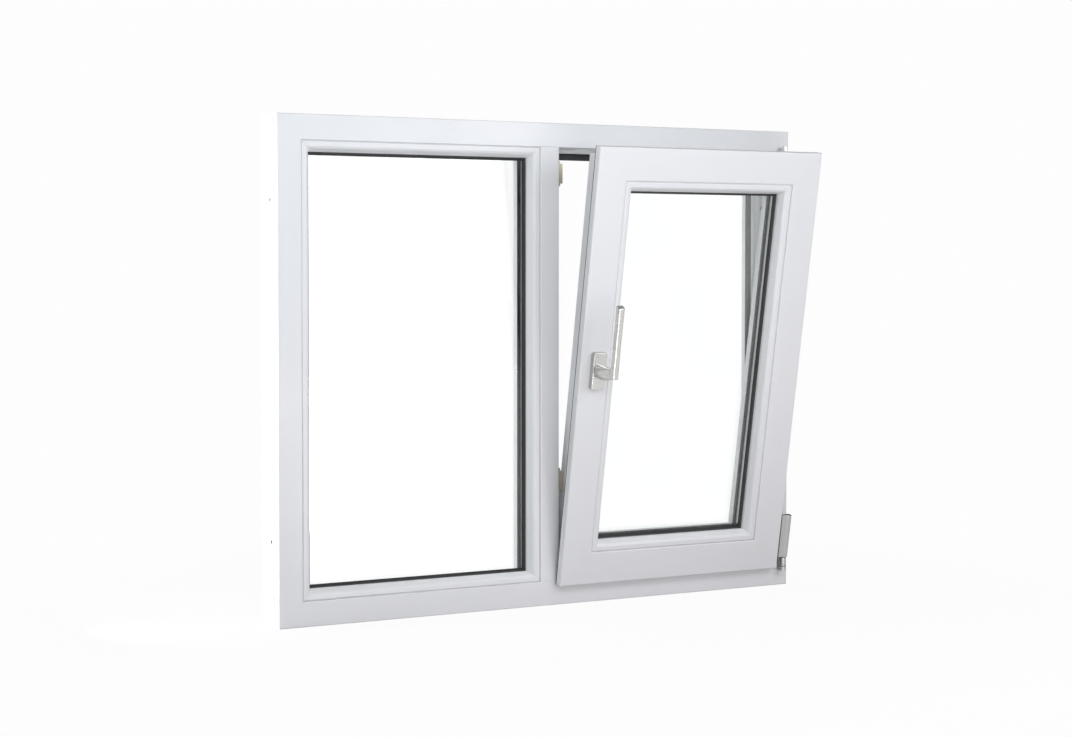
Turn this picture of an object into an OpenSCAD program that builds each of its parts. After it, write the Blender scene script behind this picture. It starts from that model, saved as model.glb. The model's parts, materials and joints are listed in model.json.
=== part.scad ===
// Two-light window: a fixed light on the left, and on the right a sash that turns on side
// hinges or tilts inwards on its bottom edge.
// X runs to the right as seen from the room, Y from the room to the outside, Z up.
// The origin is the middle of the frame's underside. The sash is drawn closed and then tilted.

/* [Frame] */
// Overall width of the outer frame
window_w = 1100; // [1000:10:1400]
// Overall height of the outer frame
window_h = 900; // [800:10:1300]
// Width of the frame's face on the room side
frame_face = 45; // [44:1:60]
// Width of the mullion's face on the room side
mullion_face = 40; // [38:1:60]
// Thickness of every profile's outer wall
wall = 2.8; // [2:0.1:3]

/* [Sash] */
// How far the sash flange laps over the frame
overlap = 8; // [7:0.5:8.5]
// Gap between the sash and the frame, where the hardware runs
hardware_gap = 12; // [12:0.5:13]
// Width of the sash profile from the flange's tip to the glazing rebate
sash_face = 62; // [62:1:75]
// How far the sash stands proud of the frame on the room side
sash_proud = 18; // [17:0.5:19]
// Angle of the tilted sash
tilt = 9.8; // [6:0.1:12]

/* [Glazing] */
// Thickness of each pane
pane_t = 4; // [3:0.5:4]
// Thickness of the sealed glass unit
unit_t = 24; // [20:1:24]
// Width of the glazing beads
bead_w = 20; // [18:0.5:22]
// Gap between the glass unit's edge and the profile
packer_t = 5; // [4:0.5:6]

/* [Handle] */
// Height of the handle's rosette
rosette_h = 70; // [64:1:80]
// Width of the handle's rosette
rosette_w = 28; // [26:1:32]
// Length of the lever above the spindle's axis
lever_reach = 133; // [110:1:145]
// Distance from the sash's face to the middle of the lever
lever_standoff = 62; // [54:1:70]
// Distance from the sash's rebate edge to the spindle
backset = 15.5; // [15:0.5:16]
// Travel of the lock rods from handle up to handle down
rod_travel = 30; // [28:1:30]

/* [Hidden] */

$fn = 48;
eps = 0.01;
far = 2000;

// Profile depths, measured from each profile's room face
profile_d = 70;
leg_h = 20;
leg_v = 55;
seal_gap = 3;
flange_t = sash_proud - seal_gap;
flange_w = overlap + hardware_gap;
weld_w = 0.8;

// Room faces of the frame and of the closed sash
frame_y = -profile_d / 2;
sash_y = frame_y - sash_proud;

// Rebates of the two openings: left edge, bottom edge, width, height, room face
rebate_h = window_h - 2 * frame_face;
rebate_w = window_w / 2 - frame_face - mullion_face / 2;
fixed_rebate = [-window_w / 2 + frame_face, frame_face, rebate_w, rebate_h, frame_y];
turn_rebate = [mullion_face / 2, frame_face, rebate_w, rebate_h, frame_y];

// Sash outline at the flange's tip, and its body and glazing rebate
sash_x0 = turn_rebate[0] - overlap;
sash_z0 = frame_face - overlap;
sash_w = rebate_w + 2 * overlap;
sash_h = rebate_h + 2 * overlap;
sash_x1 = sash_x0 + sash_w;
sash_z1 = sash_z0 + sash_h;
body_x0 = sash_x0 + flange_w;
body_z0 = sash_z0 + flange_w;
body_x1 = sash_x1 - flange_w;
body_z1 = sash_z1 - flange_w;
sash_rebate = [sash_x0 + sash_face, sash_z0 + sash_face, sash_w - 2 * sash_face,
    sash_h - 2 * sash_face, sash_y];

// Glass unit: its front and back, measured from the room face
unit_v0 = leg_v - 4 - unit_t;
unit_v1 = leg_v - 4;

// Steel tubes in the frame, mullion and sash
steel = [25, 30, 1.5];
frame_steel_u = 10;
sash_steel_u = flange_w + 13.5;
steel_v = 17;
steel_stop = 75;

// Hardware groove around the sash body
groove_v = 28;
faceplate_w = 16.5;
faceplate_t = 2.5;
rod_groove_w = 12;
rod_groove_d = 11.5;
groove_y = sash_y + groove_v;

// Turn axis, upright beside the sash, and tilt axis, level inside the flange's lower edge
turn_x = sash_x1 + 18;
axis_y = frame_y - 13;
tilt_y = frame_y - 10;
tilt_z = sash_z0 + 5;
knuckle_r = 6.5;
pin_r = 3;
axle_r = 2.5;
running = 0.05;
leaf_y0 = frame_y - 2.3;
leaf_t = 1.6;
link_x0 = turn_x - 13;
link_w = 8;
cap_z0 = tilt_z + 17;
cap_h = 86;
barrel_z0 = tilt_z - 3.5;
barrel_z1 = tilt_z + 14.7;

// Stay arm in the gap above the sash
arm_t = 3;
arm_z = body_z1 + 5.5;
arm_w = 14;
arm_reach = 300;
arm_end_x = turn_x - arm_reach;
arm_inner_x = turn_rebate[0] + rebate_w - 1.5;
eye_r = pin_r + 0.4;
eye_h = 8.8;

// The arm's axis leans so that its tip drops with the tilting sash
tip_rise = arm_z + arm_t / 2 - tilt_z;
tip_back = groove_y - tilt_y;
tip_y0 = groove_y - axis_y;
tip_y1 = tilt_y + tip_back * cos(tilt) - tip_rise * sin(tilt) - axis_y;
tip_z1 = tip_back * sin(tilt) + tip_rise * cos(tilt) - tip_rise;
arm_lean = atan(tip_z1 / (tip_y1 - tip_y0));
arm_s0 = tip_y0 * cos(arm_lean);
arm_s1 = tip_y1 * cos(arm_lean) + tip_z1 * sin(arm_lean);
arm_r = sqrt(arm_reach * arm_reach + arm_s0 * arm_s0);
arm_swing = asin(arm_s0 / arm_r) - asin(arm_s1 / arm_r);
slot_w = 9.6;
slot_shift = -1.2;

// Handle, gearbox and lock rods
spindle_x = body_x0 + backset;
spindle_z = window_h / 2;
spindle_a = 7;
rosette_t = 11;
neck_r = 13.2;
neck_foot_h = 18;
spindle_in_neck = 20;
lever_w = 14;
lever_d = 11;
lever_drop = 4;
tip_slant = 24;
lever_y = sash_y - lever_standoff - lever_d / 2;
neck_root_y = sash_y - rosette_t - 0.3;
spindle_y0 = neck_root_y - spindle_in_neck;
pitch_r = rod_travel / PI;
pinion_teeth = 12;
gear_m = 2 * pitch_r / pinion_teeth;
gear_t = 8;
hub_r = 7.5;
case_h = 120;
case_w = 13;
case_d = 28;
rod_t = 2;
rod_w = 10;
rod_off = faceplate_t + 0.3;
corner_leg = 40;
cam_r = 4;
cam_reach = 7.5;
side_cam_z = [body_z0 + 133, body_z1 - 80];
top_cam_x = body_x0 + 68;
bottom_cam_x = body_x0 + 298;

// Strikers on the frame: lips stand on the room side of the closed cams
striker_base = [47, 16.5, 2.5];
lip_t = 3;
lip_h = 7.5;
lip_y = frame_y + 0.5;
striker_lead = 20;

// Frame fixings through the jambs
fixing_z = [150, window_h - 150];
fixing_r = 4;

white = "#f2f4f6";
rubber_c = "#1d1e20";
metal_c = "#c3c4c2";
steel_c = "#8d9194";
brass_c = "#a79a6b";
glass_c = [0.85, 0.93, 0.93, 0.35];

// ---- 2D sections -------------------------------------------------------------------------

// Points of an arc, from angle a0 to angle a1
function arc(cx, cy, r, a0, a1, n = 5) =
    [for (i = [0:n]) [cx + r * cos(a0 + (a1 - a0) * i / n), cy + r * sin(a0 + (a1 - a0) * i / n)]];

module boxes(list) {
    for (b = list) translate([b[0], b[1]]) square([b[2] - b[0], b[3] - b[1]]);
}

// Rectangle with round corners, centred
module round_rect(w, h, r) {
    x = w / 2 - r;
    y = h / 2 - r;
    polygon(concat(arc(x, y, r, 0, 90, 8), arc(-x, y, r, 90, 180, 8),
        arc(-x, -y, r, 180, 270, 8), arc(x, -y, r, 270, 360, 8)));
}

// Frame profile: x is the distance inwards from the outer edge, y the depth from the room face
module frame_section() {
    r = 2;
    f = frame_face;
    d = profile_d;
    difference() {
        polygon(concat(arc(r, r, r, 180, 270), arc(f - r, r, r, 270, 360),
            [[f, leg_v], [f + leg_h - 1, leg_v], [f + leg_h, leg_v + 1]],
            arc(f + leg_h - r, d - r, r, 0, 90), [[0, d]]));
        boxes([
            [wall, wall, f - wall, steel_v - wall],
            [frame_steel_u, steel_v, frame_steel_u + steel[0], steel_v + steel[1]],
            [wall, steel_v, frame_steel_u - wall, steel_v + steel[1]],
            [frame_steel_u + steel[0] + wall, steel_v, f - wall, steel_v + steel[1]],
            [wall, steel_v + steel[1] + wall, f - wall, d - wall],
            [f, leg_v + wall, f + leg_h - wall, d - wall]
        ]);
    }
}

// Mullion profile, centred on x
module mullion_section() {
    r = 2;
    f = mullion_face / 2;
    l = f + leg_h;
    d = profile_d;
    difference() {
        polygon(concat(arc(-f + r, r, r, 180, 270), arc(f - r, r, r, 270, 360),
            [[f, leg_v], [l - 1, leg_v], [l, leg_v + 1]], arc(l - r, d - r, r, 0, 90),
            arc(-l + r, d - r, r, 90, 180), [[-l, leg_v + 1], [-l + 1, leg_v], [-f, leg_v]]));
        boxes([
            [-f + wall, wall, f - wall, steel_v - wall],
            [-steel[0] / 2, steel_v, steel[0] / 2, steel_v + steel[1]],
            [-f + wall, steel_v + steel[1] + wall, f - wall, d - wall],
            [f, leg_v + wall, l - wall, d - wall],
            [-l + wall, leg_v + wall, -f, d - wall]
        ]);
    }
}

// Sash profile, with its flange, hardware groove and glazing leg
module sash_section() {
    r = 3;
    f = sash_face;
    d = profile_d;
    b = flange_w;
    difference() {
        polygon(concat(arc(r, r, r, 180, 270), arc(f - 2, 2, 2, 270, 360),
            [[f, leg_v], [f + leg_h - 1, leg_v], [f + leg_h, leg_v + 1]],
            arc(f + leg_h - 2, d - 2, 2, 0, 90),
            [[b + 4, d], [b, d - 4], [b, flange_t], [1, flange_t], [0, flange_t - 1]]));
        boxes([
            [wall, wall + 1, b - wall, flange_t - wall],
            [b, wall, f - wall, steel_v - wall],
            [sash_steel_u, steel_v, sash_steel_u + steel[0], steel_v + steel[1]],
            [b + wall, groove_v + 11, sash_steel_u - wall, steel_v + steel[1]],
            [b + wall, steel_v + steel[1] + wall, f - wall, d - 4],
            [f, leg_v + wall, f + leg_h - wall, d - wall],
            [b - eps, groove_v - faceplate_w / 2, b + faceplate_t, groove_v + faceplate_w / 2],
            [b - eps, groove_v - rod_groove_w / 2, b + rod_groove_d, groove_v + rod_groove_w / 2]
        ]);
    }
}

// Sections in a glazing rebate: x is the distance from the rebate wall, y the depth
module bead_section() {
    b = bead_w;
    difference() {
        polygon(concat([[0, 1.4], [1, 1.2]], arc(b - 11, 5.6, 4.2, 275, 340, 6),
            arc(b - 1.5, 15.5, 1.5, -20, 0, 2), [[b, unit_v0 - 4], [0, unit_v0 - 4]]));
        polygon([[2, 4], [b - 10, 4.4], [b - 3.4, unit_v0 - 10], [b - 8, unit_v0 - 6.5],
            [2, unit_v0 - 6.5]]);
    }
}

module gasket_inner_section() {
    b = bead_w;
    polygon([[b - 8, unit_v0], [b - 8, unit_v0 - 4], [b, unit_v0 - 4], [b, unit_v0 - 6],
        [b + 2.5, unit_v0 - 5], [b + 5.5, unit_v0 - 1], [b + 5.5, unit_v0]]);
}

module gasket_outer_section() {
    polygon([[10, unit_v1], [leg_h + 1.5, unit_v1], [leg_h + 2, unit_v1 + 1.5],
        [leg_h, leg_v], [10, leg_v]]);
}

module steel_section() {
    difference() {
        square([steel[0], steel[1]]);
        translate([steel[2], steel[2]])
            square([steel[0] - 2 * steel[2], steel[1] - 2 * steel[2]]);
    }
}

// ---- Bars and rings ----------------------------------------------------------------------

// Extrudes a section along X: the section's x points up and its y points away from the room
module bar(len) {
    translate([len, 0, 0]) rotate([0, -90, 0]) linear_extrude(len) children();
}

// Cuts both ends of a bar to a mitre, for a section that reaches from u0 to u1
module mitred(len, u0, u1) {
    intersection() {
        bar(len) children();
        translate([0, profile_d + 10, 0]) rotate([90, 0, 0]) linear_extrude(profile_d + 20)
            polygon([[u0, u0], [len - u0, u0], [len - u1, u1], [u1, u1]]);
    }
}

// Puts one bar on a side of a rectangle: 0 bottom, 1 right, 2 top, 3 left
module on_side(rect, side) {
    x = (side == 1 || side == 2) ? rect[0] + rect[2] : rect[0];
    z = (side == 2 || side == 3) ? rect[1] + rect[3] : rect[1];
    translate([x, rect[4], z]) rotate([0, -90 * side, 0]) children();
}

function side_len(rect, side) = (side % 2 == 0) ? rect[2] : rect[3];

module ring_bar(rect, side, u0, u1) {
    on_side(rect, side) mitred(side_len(rect, side), u0, u1) children();
}

module ring(rect, u0, u1) {
    for (side = [0:3]) ring_bar(rect, side, u0, u1) children();
}

// A closed rectangular band, from inset a to inset b and from depth v0 to depth v1
module band(rect, a, b, v0, v1) {
    difference() {
        slab(rect, a, v0, v1);
        slab(rect, b, v0 - 1, v1 + 1);
    }
}

module slab(rect, inset, v0, v1) {
    translate([rect[0] + inset, rect[4] + v0, rect[1] + inset])
        cube([rect[2] - 2 * inset, v1 - v0, rect[3] - 2 * inset]);
}

// The fine V groove that a welded corner leaves on the room face
module weld_grooves(len) {
    for (m = [0, 1]) translate([m * len, 0, 0]) rotate([0, m == 0 ? -45 : -135, 0])
        rotate([45, 0, 0]) translate([-1, -weld_w / 2, -weld_w / 2])
            cube([120, weld_w, weld_w]);
}

// Moves the closed sash to its tilted place
module tilted() {
    translate([0, tilt_y, tilt_z]) rotate([tilt, 0, 0]) translate([0, -tilt_y, -tilt_z])
        children();
}

// ---- Outer frame -------------------------------------------------------------------------

outer = [-window_w / 2, 0, window_w, window_h, frame_y];

module frame_bar(side) {
    on_side(outer, side) difference() {
        mitred(side_len(outer, side), 0, frame_face + leg_h) frame_section();
        weld_grooves(side_len(outer, side));
    }
}

module jamb_bar(side) {
    color(white) difference() {
        frame_bar(side);
        frame_fixing_holes();
    }
}

// Two fixing holes through each jamb and its steel
module frame_fixing_holes() {
    for (z = fixing_z) for (x = [-window_w / 2 - 1, window_w / 2 - frame_face - 1])
        translate([x, frame_y + steel_v + steel[1] / 2, z]) rotate([0, 90, 0])
            cylinder(r = fixing_r, h = frame_face + 2);
}

module frame_sill() {
    color(white) difference() {
        frame_bar(0);
        connector_screw_holes();
        striker_screw_bodies();
    }
}

module frame_head() {
    color(white) difference() {
        frame_bar(2);
        connector_screw_holes();
        striker_screw_bodies();
    }
}

module frame_jamb_left() { jamb_bar(3); }

module frame_jamb_right() {
    difference() {
        jamb_bar(1);
        bearing_screw_bodies();
    }
}

module mullion() {
    color(white) difference() {
        translate([0, frame_y, frame_face]) linear_extrude(rebate_h) mullion_section();
        striker_screw_bodies();
        for (z = [frame_face - 1, window_h - frame_face - leg_h])
            translate([-far / 2, frame_y + leg_v, z]) cube([far, far, leg_h + 1]);
    }
}

// Square steel tubes inside the four frame bars and the mullion
module frame_reinforcement() {
    color(steel_c) difference() {
        union() {
            for (side = [0:3]) on_side(outer, side) translate([steel_stop, 0, 0])
                bar(side_len(outer, side) - 2 * steel_stop)
                    translate([frame_steel_u, steel_v]) steel_section();
            translate([-steel[0] / 2, frame_y + steel_v, frame_face + 2])
                linear_extrude(rebate_h - 4) steel_section();
        }
        frame_fixing_holes();
        connector_screw_holes();
    }
}

connector_h = 40;
connector_screw_r = 2.5;

module connector_screw_holes() {
    for (m = [0, 1]) translate([0, frame_y + steel_v + steel[1] / 2, m * window_h])
        rotate([m * 180, 0, 0]) translate([0, 0, -1])
            cylinder(r = connector_screw_r, h = frame_face + connector_h);
}

// Blocks inside the mullion's steel, and the screws that pull it to the sill and the head
module mullion_connectors() {
    w = steel[0] - 2 * steel[2];
    d = steel[1] - 2 * steel[2];
    color(steel_c) for (m = [0, 1])
        translate([0, frame_y + steel_v + steel[1] / 2, m * window_h])
            rotate([m * 180, 0, 0]) {
                difference() {
                    translate([-w / 2, -d / 2, frame_face + 2]) cube([w, d, connector_h]);
                    cylinder(r = connector_screw_r, h = frame_face + connector_h);
                }
                translate([0, 0, 0.2]) cylinder(r = connector_screw_r, h = frame_face + 36);
            }
}

// ---- Glazing, the same in both lights ----------------------------------------------------

module pane(rect, v0) {
    color(glass_c) slab(rect, packer_t, v0, v0 + pane_t);
}

module spacer_bar(rect) {
    color("#9a9d9f") band(rect, packer_t + 5, packer_t + 12.5, unit_v0 + pane_t,
        unit_v1 - pane_t);
}

module edge_sealant(rect) {
    color(rubber_c) band(rect, packer_t, packer_t + 5, unit_v0 + pane_t, unit_v1 - pane_t);
}

module beads(rect) {
    color(white) ring(rect, 0, bead_w) bead_section();
}

module gasket_inner(rect) {
    color(rubber_c) ring(rect, bead_w - 8, bead_w + 5.5) gasket_inner_section();
}

module gasket_outer(rect) {
    color(rubber_c) ring(rect, 10, leg_h + 2) gasket_outer_section();
}

// Blocks that carry and centre the glass unit, near the corners
packer_len = 80;
packer_in = 50;

module packers(rect) {
    color("#3f6ea8") for (side = [0:3])
        for (x = [packer_in, side_len(rect, side) - packer_in - packer_len])
            on_side(rect, side) translate([x, unit_v0, 0]) cube([packer_len, unit_t, packer_t]);
}

module fixed_glass_inner() { pane(fixed_rebate, unit_v0); }

module fixed_glass_outer() { pane(fixed_rebate, unit_v1 - pane_t); }

module fixed_spacer() { spacer_bar(fixed_rebate); }

module fixed_edge_sealant() { edge_sealant(fixed_rebate); }

module fixed_beads() { beads(fixed_rebate); }

module fixed_gasket_inner() { gasket_inner(fixed_rebate); }

module fixed_gasket_outer() { gasket_outer(fixed_rebate); }

module fixed_packers() { packers(fixed_rebate); }

module sash_glass_inner() { tilted() pane(sash_rebate, unit_v0); }

module sash_glass_outer() { tilted() pane(sash_rebate, unit_v1 - pane_t); }

module sash_spacer() { tilted() spacer_bar(sash_rebate); }

module sash_edge_sealant() { tilted() edge_sealant(sash_rebate); }

module sash_beads() { tilted() beads(sash_rebate); }

module sash_gasket_inner() { tilted() gasket_inner(sash_rebate); }

module sash_gasket_outer() { tilted() gasket_outer(sash_rebate); }

module sash_packers() { tilted() packers(sash_rebate); }

// ---- Seals and fixed hardware on the frame -----------------------------------------------

// Black seal on the frame's leg, which the closed sash presses on
module frame_seal() {
    color(rubber_c) ring(turn_rebate, 8, leg_h + 1)
        polygon([[8, leg_v], [9, leg_v - 1.6], [13, leg_v - 2.6], [leg_h - 1, leg_v - 2.6],
            [leg_h + 1, leg_v - 1], [leg_h + 1, leg_v + 1.4], [leg_h, leg_v + 1.4],
            [leg_h, leg_v]]);
}

// A striker plate on a rebate wall: base along X, standing up along Z
module striker() {
    difference() {
        union() {
            cube([striker_base[0], striker_base[1], striker_base[2]]);
            translate([5, 0, 0]) cube([striker_base[0] - 10, lip_t, lip_h]);
            translate([5, lip_t, striker_base[2]]) rotate([0, 90, 0])
                cylinder(r = 1, h = striker_base[0] - 10, $fn = 4);
        }
        for (x = striker_screw_x) translate([x, striker_base[1] / 2 + 2, -1])
            cylinder(r = striker_screw_r, h = 5);
    }
}

striker_screw_x = [7, striker_base[0] - 7];
striker_screw_r = 1.8;
striker_screw_len = 12;

module striker_places() {
    x0 = turn_rebate[0];
    z1 = frame_face + rebate_h;
    for (z = side_cam_z) translate([x0, lip_y, z + striker_lead + striker_base[0]])
        rotate([0, 90, 0]) children();
    translate([top_cam_x + striker_lead + striker_base[0], lip_y, z1]) rotate([0, 180, 0])
        children();
    translate([bottom_cam_x - striker_lead - striker_base[0], lip_y, frame_face]) children();
}

module strikers() {
    color(brass_c) striker_places() striker();
}

module striker_screw_places() {
    striker_places() for (x = striker_screw_x) translate([x, striker_base[1] / 2 + 2, 0])
        children();
}

module striker_screw_bodies() {
    striker_screw_places() translate([0, 0, -striker_screw_len])
        cylinder(r = striker_screw_r, h = striker_screw_len + striker_base[2]);
}

module striker_screws() {
    color(brass_c) {
        striker_screw_bodies();
        striker_screw_places() translate([0, 0, striker_base[2]])
            cylinder(r1 = 3.2, r2 = 2.4, h = 0.8, $fn = 24);
    }
}

// Slotted covers over the drainage slots on the outside of the sill
module drain_caps() {
    color(white) for (x = [-window_w / 4, window_w / 4])
        translate([x, profile_d / 2, 26]) difference() {
            translate([-21, 0, -8]) cube([42, 4, 16]);
            translate([-18, -1, -6]) cube([36, 3.5, 10]);
            translate([-15, -1, -9]) cube([30, 3, 4]);
        }
}

bearing_x0 = turn_x - 4;
bearing_w = 20;
bearing_plate_t = 2;
bearing_screw_x = bearing_x0 + bearing_w - 6;
bearing_screw_in = 7;
pivot_plate = [barrel_z0 - 8, barrel_z1 + 1];
stay_plate = [body_z1 - 31, sash_z1 + 3];

module bearing_plate(z0, z1) {
    difference() {
        translate([bearing_x0, frame_y - bearing_plate_t, z0])
            cube([bearing_w, bearing_plate_t, z1 - z0]);
        bearing_screw_bodies();
    }
}

bearing_screw_r = 2.1;
bearing_screw_len = 16;

module bearing_screw_places() {
    for (p = [pivot_plate, stay_plate]) for (z = [p[0] + bearing_screw_in, p[1] - bearing_screw_in])
        translate([bearing_screw_x, frame_y - bearing_plate_t, z]) rotate([-90, 0, 0])
            children();
}

module bearing_screw_bodies() {
    bearing_screw_places() cylinder(r = bearing_screw_r, h = bearing_screw_len);
}

// A lug around the turn axis, joined to the plate behind it
module lug(z0, z1, hole_r) {
    difference() {
        union() {
            translate([turn_x, axis_y, z0]) cylinder(r = knuckle_r, h = z1 - z0);
            translate([turn_x - 4, axis_y, z0])
                cube([8, frame_y - axis_y - bearing_plate_t + 0.5, z1 - z0]);
        }
        translate([turn_x, axis_y, z0 - 1]) cylinder(r = hole_r, h = z1 - z0 + 2);
    }
}

module pivot_bearing() {
    color(metal_c) union() {
        bearing_plate(pivot_plate[0], pivot_plate[1]);
        lug(pivot_plate[0], barrel_z0 - 0.3, pin_r);
    }
}

module pivot_pin() {
    color(steel_c) translate([turn_x, axis_y, pivot_plate[0] - 1])
        cylinder(r = pin_r, h = barrel_z1 - 6 - pivot_plate[0] + 1);
}

module stay_bearing() {
    color(metal_c) union() {
        bearing_plate(stay_plate[0], stay_plate[1]);
        lug(stay_plate[0] + 2, arm_z - 3.5, pin_r);
        lug(arm_z + arm_t + 3.5, stay_plate[1] + 2, pin_r);
    }
}

module stay_bearing_pin() {
    color(steel_c) translate([turn_x, axis_y, stay_plate[0] + 1])
        cylinder(r = pin_r, h = stay_plate[1] - stay_plate[0] + 3);
}

module bearing_screws() {
    color(steel_c) {
        bearing_screw_bodies();
        bearing_screw_places() translate([0, 0, -1.2]) cylinder(r1 = 2.6, r2 = 3.8, h = 1.2);
    }
}

// ---- Turning barrel: it turns on the pivot pin and carries the tilt axle -----------------

module pivot_barrel() {
    color(metal_c) difference() {
        union() {
            translate([turn_x, axis_y, barrel_z0])
                cylinder(r = knuckle_r, h = barrel_z1 - barrel_z0);
            translate([axle_x0, tilt_y, tilt_z]) rotate([0, 90, 0])
                cylinder(r = axle_r, h = turn_x - pin_r - axle_x0);
        }
        translate([turn_x, axis_y, barrel_z0 - 1])
            cylinder(r = pin_r + running, h = barrel_z1 - barrel_z0 - 4);
    }
}

axle_x0 = sash_x1 - 15;

// ---- Sash --------------------------------------------------------------------------------

sash_rect = [sash_x0, sash_z0, sash_w, sash_h, sash_y];

module sash_bar(side) {
    on_side(sash_rect, side) difference() {
        mitred(side_len(sash_rect, side), 0, sash_face + leg_h) sash_section();
        weld_grooves(side_len(sash_rect, side));
    }
}

// Pocket in the flange's lower right corner for the hinge's lug
module hinge_pocket() {
    translate([lug_x0 - 0.5, tilt_y - lug_r - 0.3, sash_z0 - 1])
        cube([sash_x1 - lug_x0 + 2, 20, lug_z1 + 0.5 - sash_z0 + 1]);
}

lug_x0 = sash_x1 - 16;
lug_r = 4.7;
lug_z1 = tilt_z + 8;

// Pocket for the gearbox, and the holes for the spindle and the handle's screws
module handle_cuts() {
    translate([body_x0 - 1, groove_y - case_w / 2, spindle_z - case_h / 2])
        cube([faceplate_t + case_d + 1, case_w, case_h]);
    along_spindle(sash_y - 1) cylinder(r = 6, h = groove_v);
    for (z = handle_screw_z) along_spindle(sash_y - 1, z) cylinder(r = screw_r, h = groove_v);
}

screw_r = 2.5;
handle_screw_z = [-21.5, 21.5];

module along_spindle(y, z = 0) {
    translate([spindle_x, y, spindle_z + z]) rotate([-90, 0, 0]) children();
}

module sash_top_rail() { color(white) tilted() sash_bar(2); }

module sash_bottom_rail() {
    color(white) tilted() difference() {
        sash_bar(0);
        hinge_pocket();
    }
}

module sash_stile_left() {
    color(white) tilted() difference() {
        sash_bar(3);
        handle_cuts();
    }
}

module sash_stile_right() {
    color(white) tilted() difference() {
        sash_bar(1);
        hinge_pocket();
    }
}

module sash_reinforcement() {
    color(steel_c) tilted() difference() {
        for (side = [0:3]) on_side(sash_rect, side) translate([steel_stop + flange_w, 0, 0])
            bar(side_len(sash_rect, side) - 2 * (steel_stop + flange_w))
                translate([sash_steel_u, steel_v]) steel_section();
        handle_cuts();
    }
}

// Black seal on the back of the flange, left out where the hinge and the stay arm pass
module sash_seal() {
    color(rubber_c) tilted() difference() {
        ring(sash_rect, 1.5, 7) polygon([[1.5, flange_t], [1.5, flange_t + 1.2],
            [5.5, flange_t + 2.6], [7, flange_t + 1.4], [7, flange_t]]);
        translate([lug_x0 - 4, sash_y, 0]) cube([40, 40, cap_z0 + cap_h + 5]);
        translate([lug_x0 - 2, sash_y, arm_z - 8]) cube([40, 40, 40]);
    }
}

// ---- Hinge side of the sash --------------------------------------------------------------

leaf_z0 = cap_z0 + 1;
leaf_z1 = cap_z0 + cap_h - 3;
leaf_gap = 2;

module corner_hinge() {
    h = leaf_z1 - leaf_z0;
    color(metal_c) tilted() difference() {
        union() {
            translate([body_x1, leaf_y0, leaf_z0]) cube([leaf_gap, 20, h]);
            translate([body_x1, leaf_y0, leaf_z0])
                cube([link_x0 + link_w - body_x1, leaf_t, h]);
            translate([turn_x, axis_y, leaf_z0]) cylinder(r = knuckle_r - 1.5, h = h);
            translate([link_x0, axis_y - 2, leaf_z0])
                cube([link_w, leaf_y0 + leaf_t - axis_y + 2, h]);
            translate([lug_x0, leaf_y0, tilt_z - 2]) cube([8, leaf_t, leaf_z0 - tilt_z + 3]);
            translate([lug_x0, tilt_y - lug_r, tilt_z - 4])
                cube([15.5, leaf_y0 - tilt_y + lug_r + 0.5, lug_z1 - tilt_z + 4]);
        }
        translate([lug_x0 - 1, tilt_y, tilt_z]) rotate([0, 90, 0])
            cylinder(r = axle_r + running, h = 20);
        for (z = hinge_screw_z) translate([body_x1 - 1, groove_y, z]) rotate([0, 90, 0])
            cylinder(r = 2.1, h = 4);
    }
}

hinge_screw_z = [cap_z0 + 20, cap_z0 + 65];

// Plan of the cap: round about the turn axis, with a flat part that reaches to the flange
module cap_outline(r) {
    x0 = sash_x1 + 1.6;
    front = axis_y - 3.5;
    polygon(concat([[x0, axis_y + r]], arc(turn_x, axis_y, r, 90, -125, 16),
        [[turn_x - r + 0.4, front], [x0 + 1, front], [x0, front + 1]]));
}

module corner_hinge_cap() {
    r = knuckle_r + 0.3;
    h = leaf_z1 - cap_z0 + 1.3;
    color(metal_c) tilted() difference() {
        union() {
            translate([0, 0, cap_z0]) linear_extrude(cap_h - 1) cap_outline(r);
            translate([0, 0, cap_z0 + cap_h - 1]) linear_extrude(1) cap_outline(r - 0.8);
        }
        translate([turn_x, axis_y, cap_z0 - 1]) cylinder(r = knuckle_r - 1.45, h = h);
        translate([link_x0 - 0.1, axis_y - 2.1, cap_z0 - 1]) cube([link_w + 0.2, 20, h]);
    }
}

// ---- Lock hardware in the sash's grooves -------------------------------------------------

// A strip in the left groove, from height z0 to z1 and from depth d0 to d1
module in_left(z0, z1, d0, d1, w) {
    translate([body_x0 + d0, groove_y - w / 2, z0]) cube([d1 - d0, w, z1 - z0]);
}

// The same in the top and the bottom groove, from x0 to x1
module in_top(x0, x1, d0, d1, w) {
    translate([x0, groove_y - w / 2, body_z1 - d1]) cube([x1 - x0, w, d1 - d0]);
}

module in_bottom(x0, x1, d0, d1, w) {
    translate([x0, groove_y - w / 2, body_z0 + d0]) cube([x1 - x0, w, d1 - d0]);
}

cam_slot_w = 7;
guide_x = [arm_end_x - 26, arm_end_x + 59];
top_plate_end = body_x1 - 23;
bottom_plate_end = body_x1 - 63;
bottom_rod_end = body_x1 - 93;

module lock_faceplates() {
    t = faceplate_t;
    w = faceplate_w;
    c = cam_slot_w / 2 + 0.5;
    color(metal_c) tilted() difference() {
        union() {
            in_left(body_z0 + corner_leg, body_z1 - corner_leg, 0, t, w);
            in_top(body_x0 + corner_leg, guide_x[0], 0, t, w);
            in_top(guide_x[1], top_plate_end, 0, t, w);
            in_bottom(body_x0 + corner_leg, bottom_plate_end, 0, t, w);
        }
        for (z = side_cam_z) in_left(z - c, z + rod_travel + c, -1, t + 1, cam_slot_w);
        in_top(top_cam_x - c, top_cam_x + rod_travel + c, -1, t + 1, cam_slot_w);
        in_bottom(bottom_cam_x - rod_travel - c, bottom_cam_x + c, -1, t + 1, cam_slot_w);
    }
}

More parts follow.
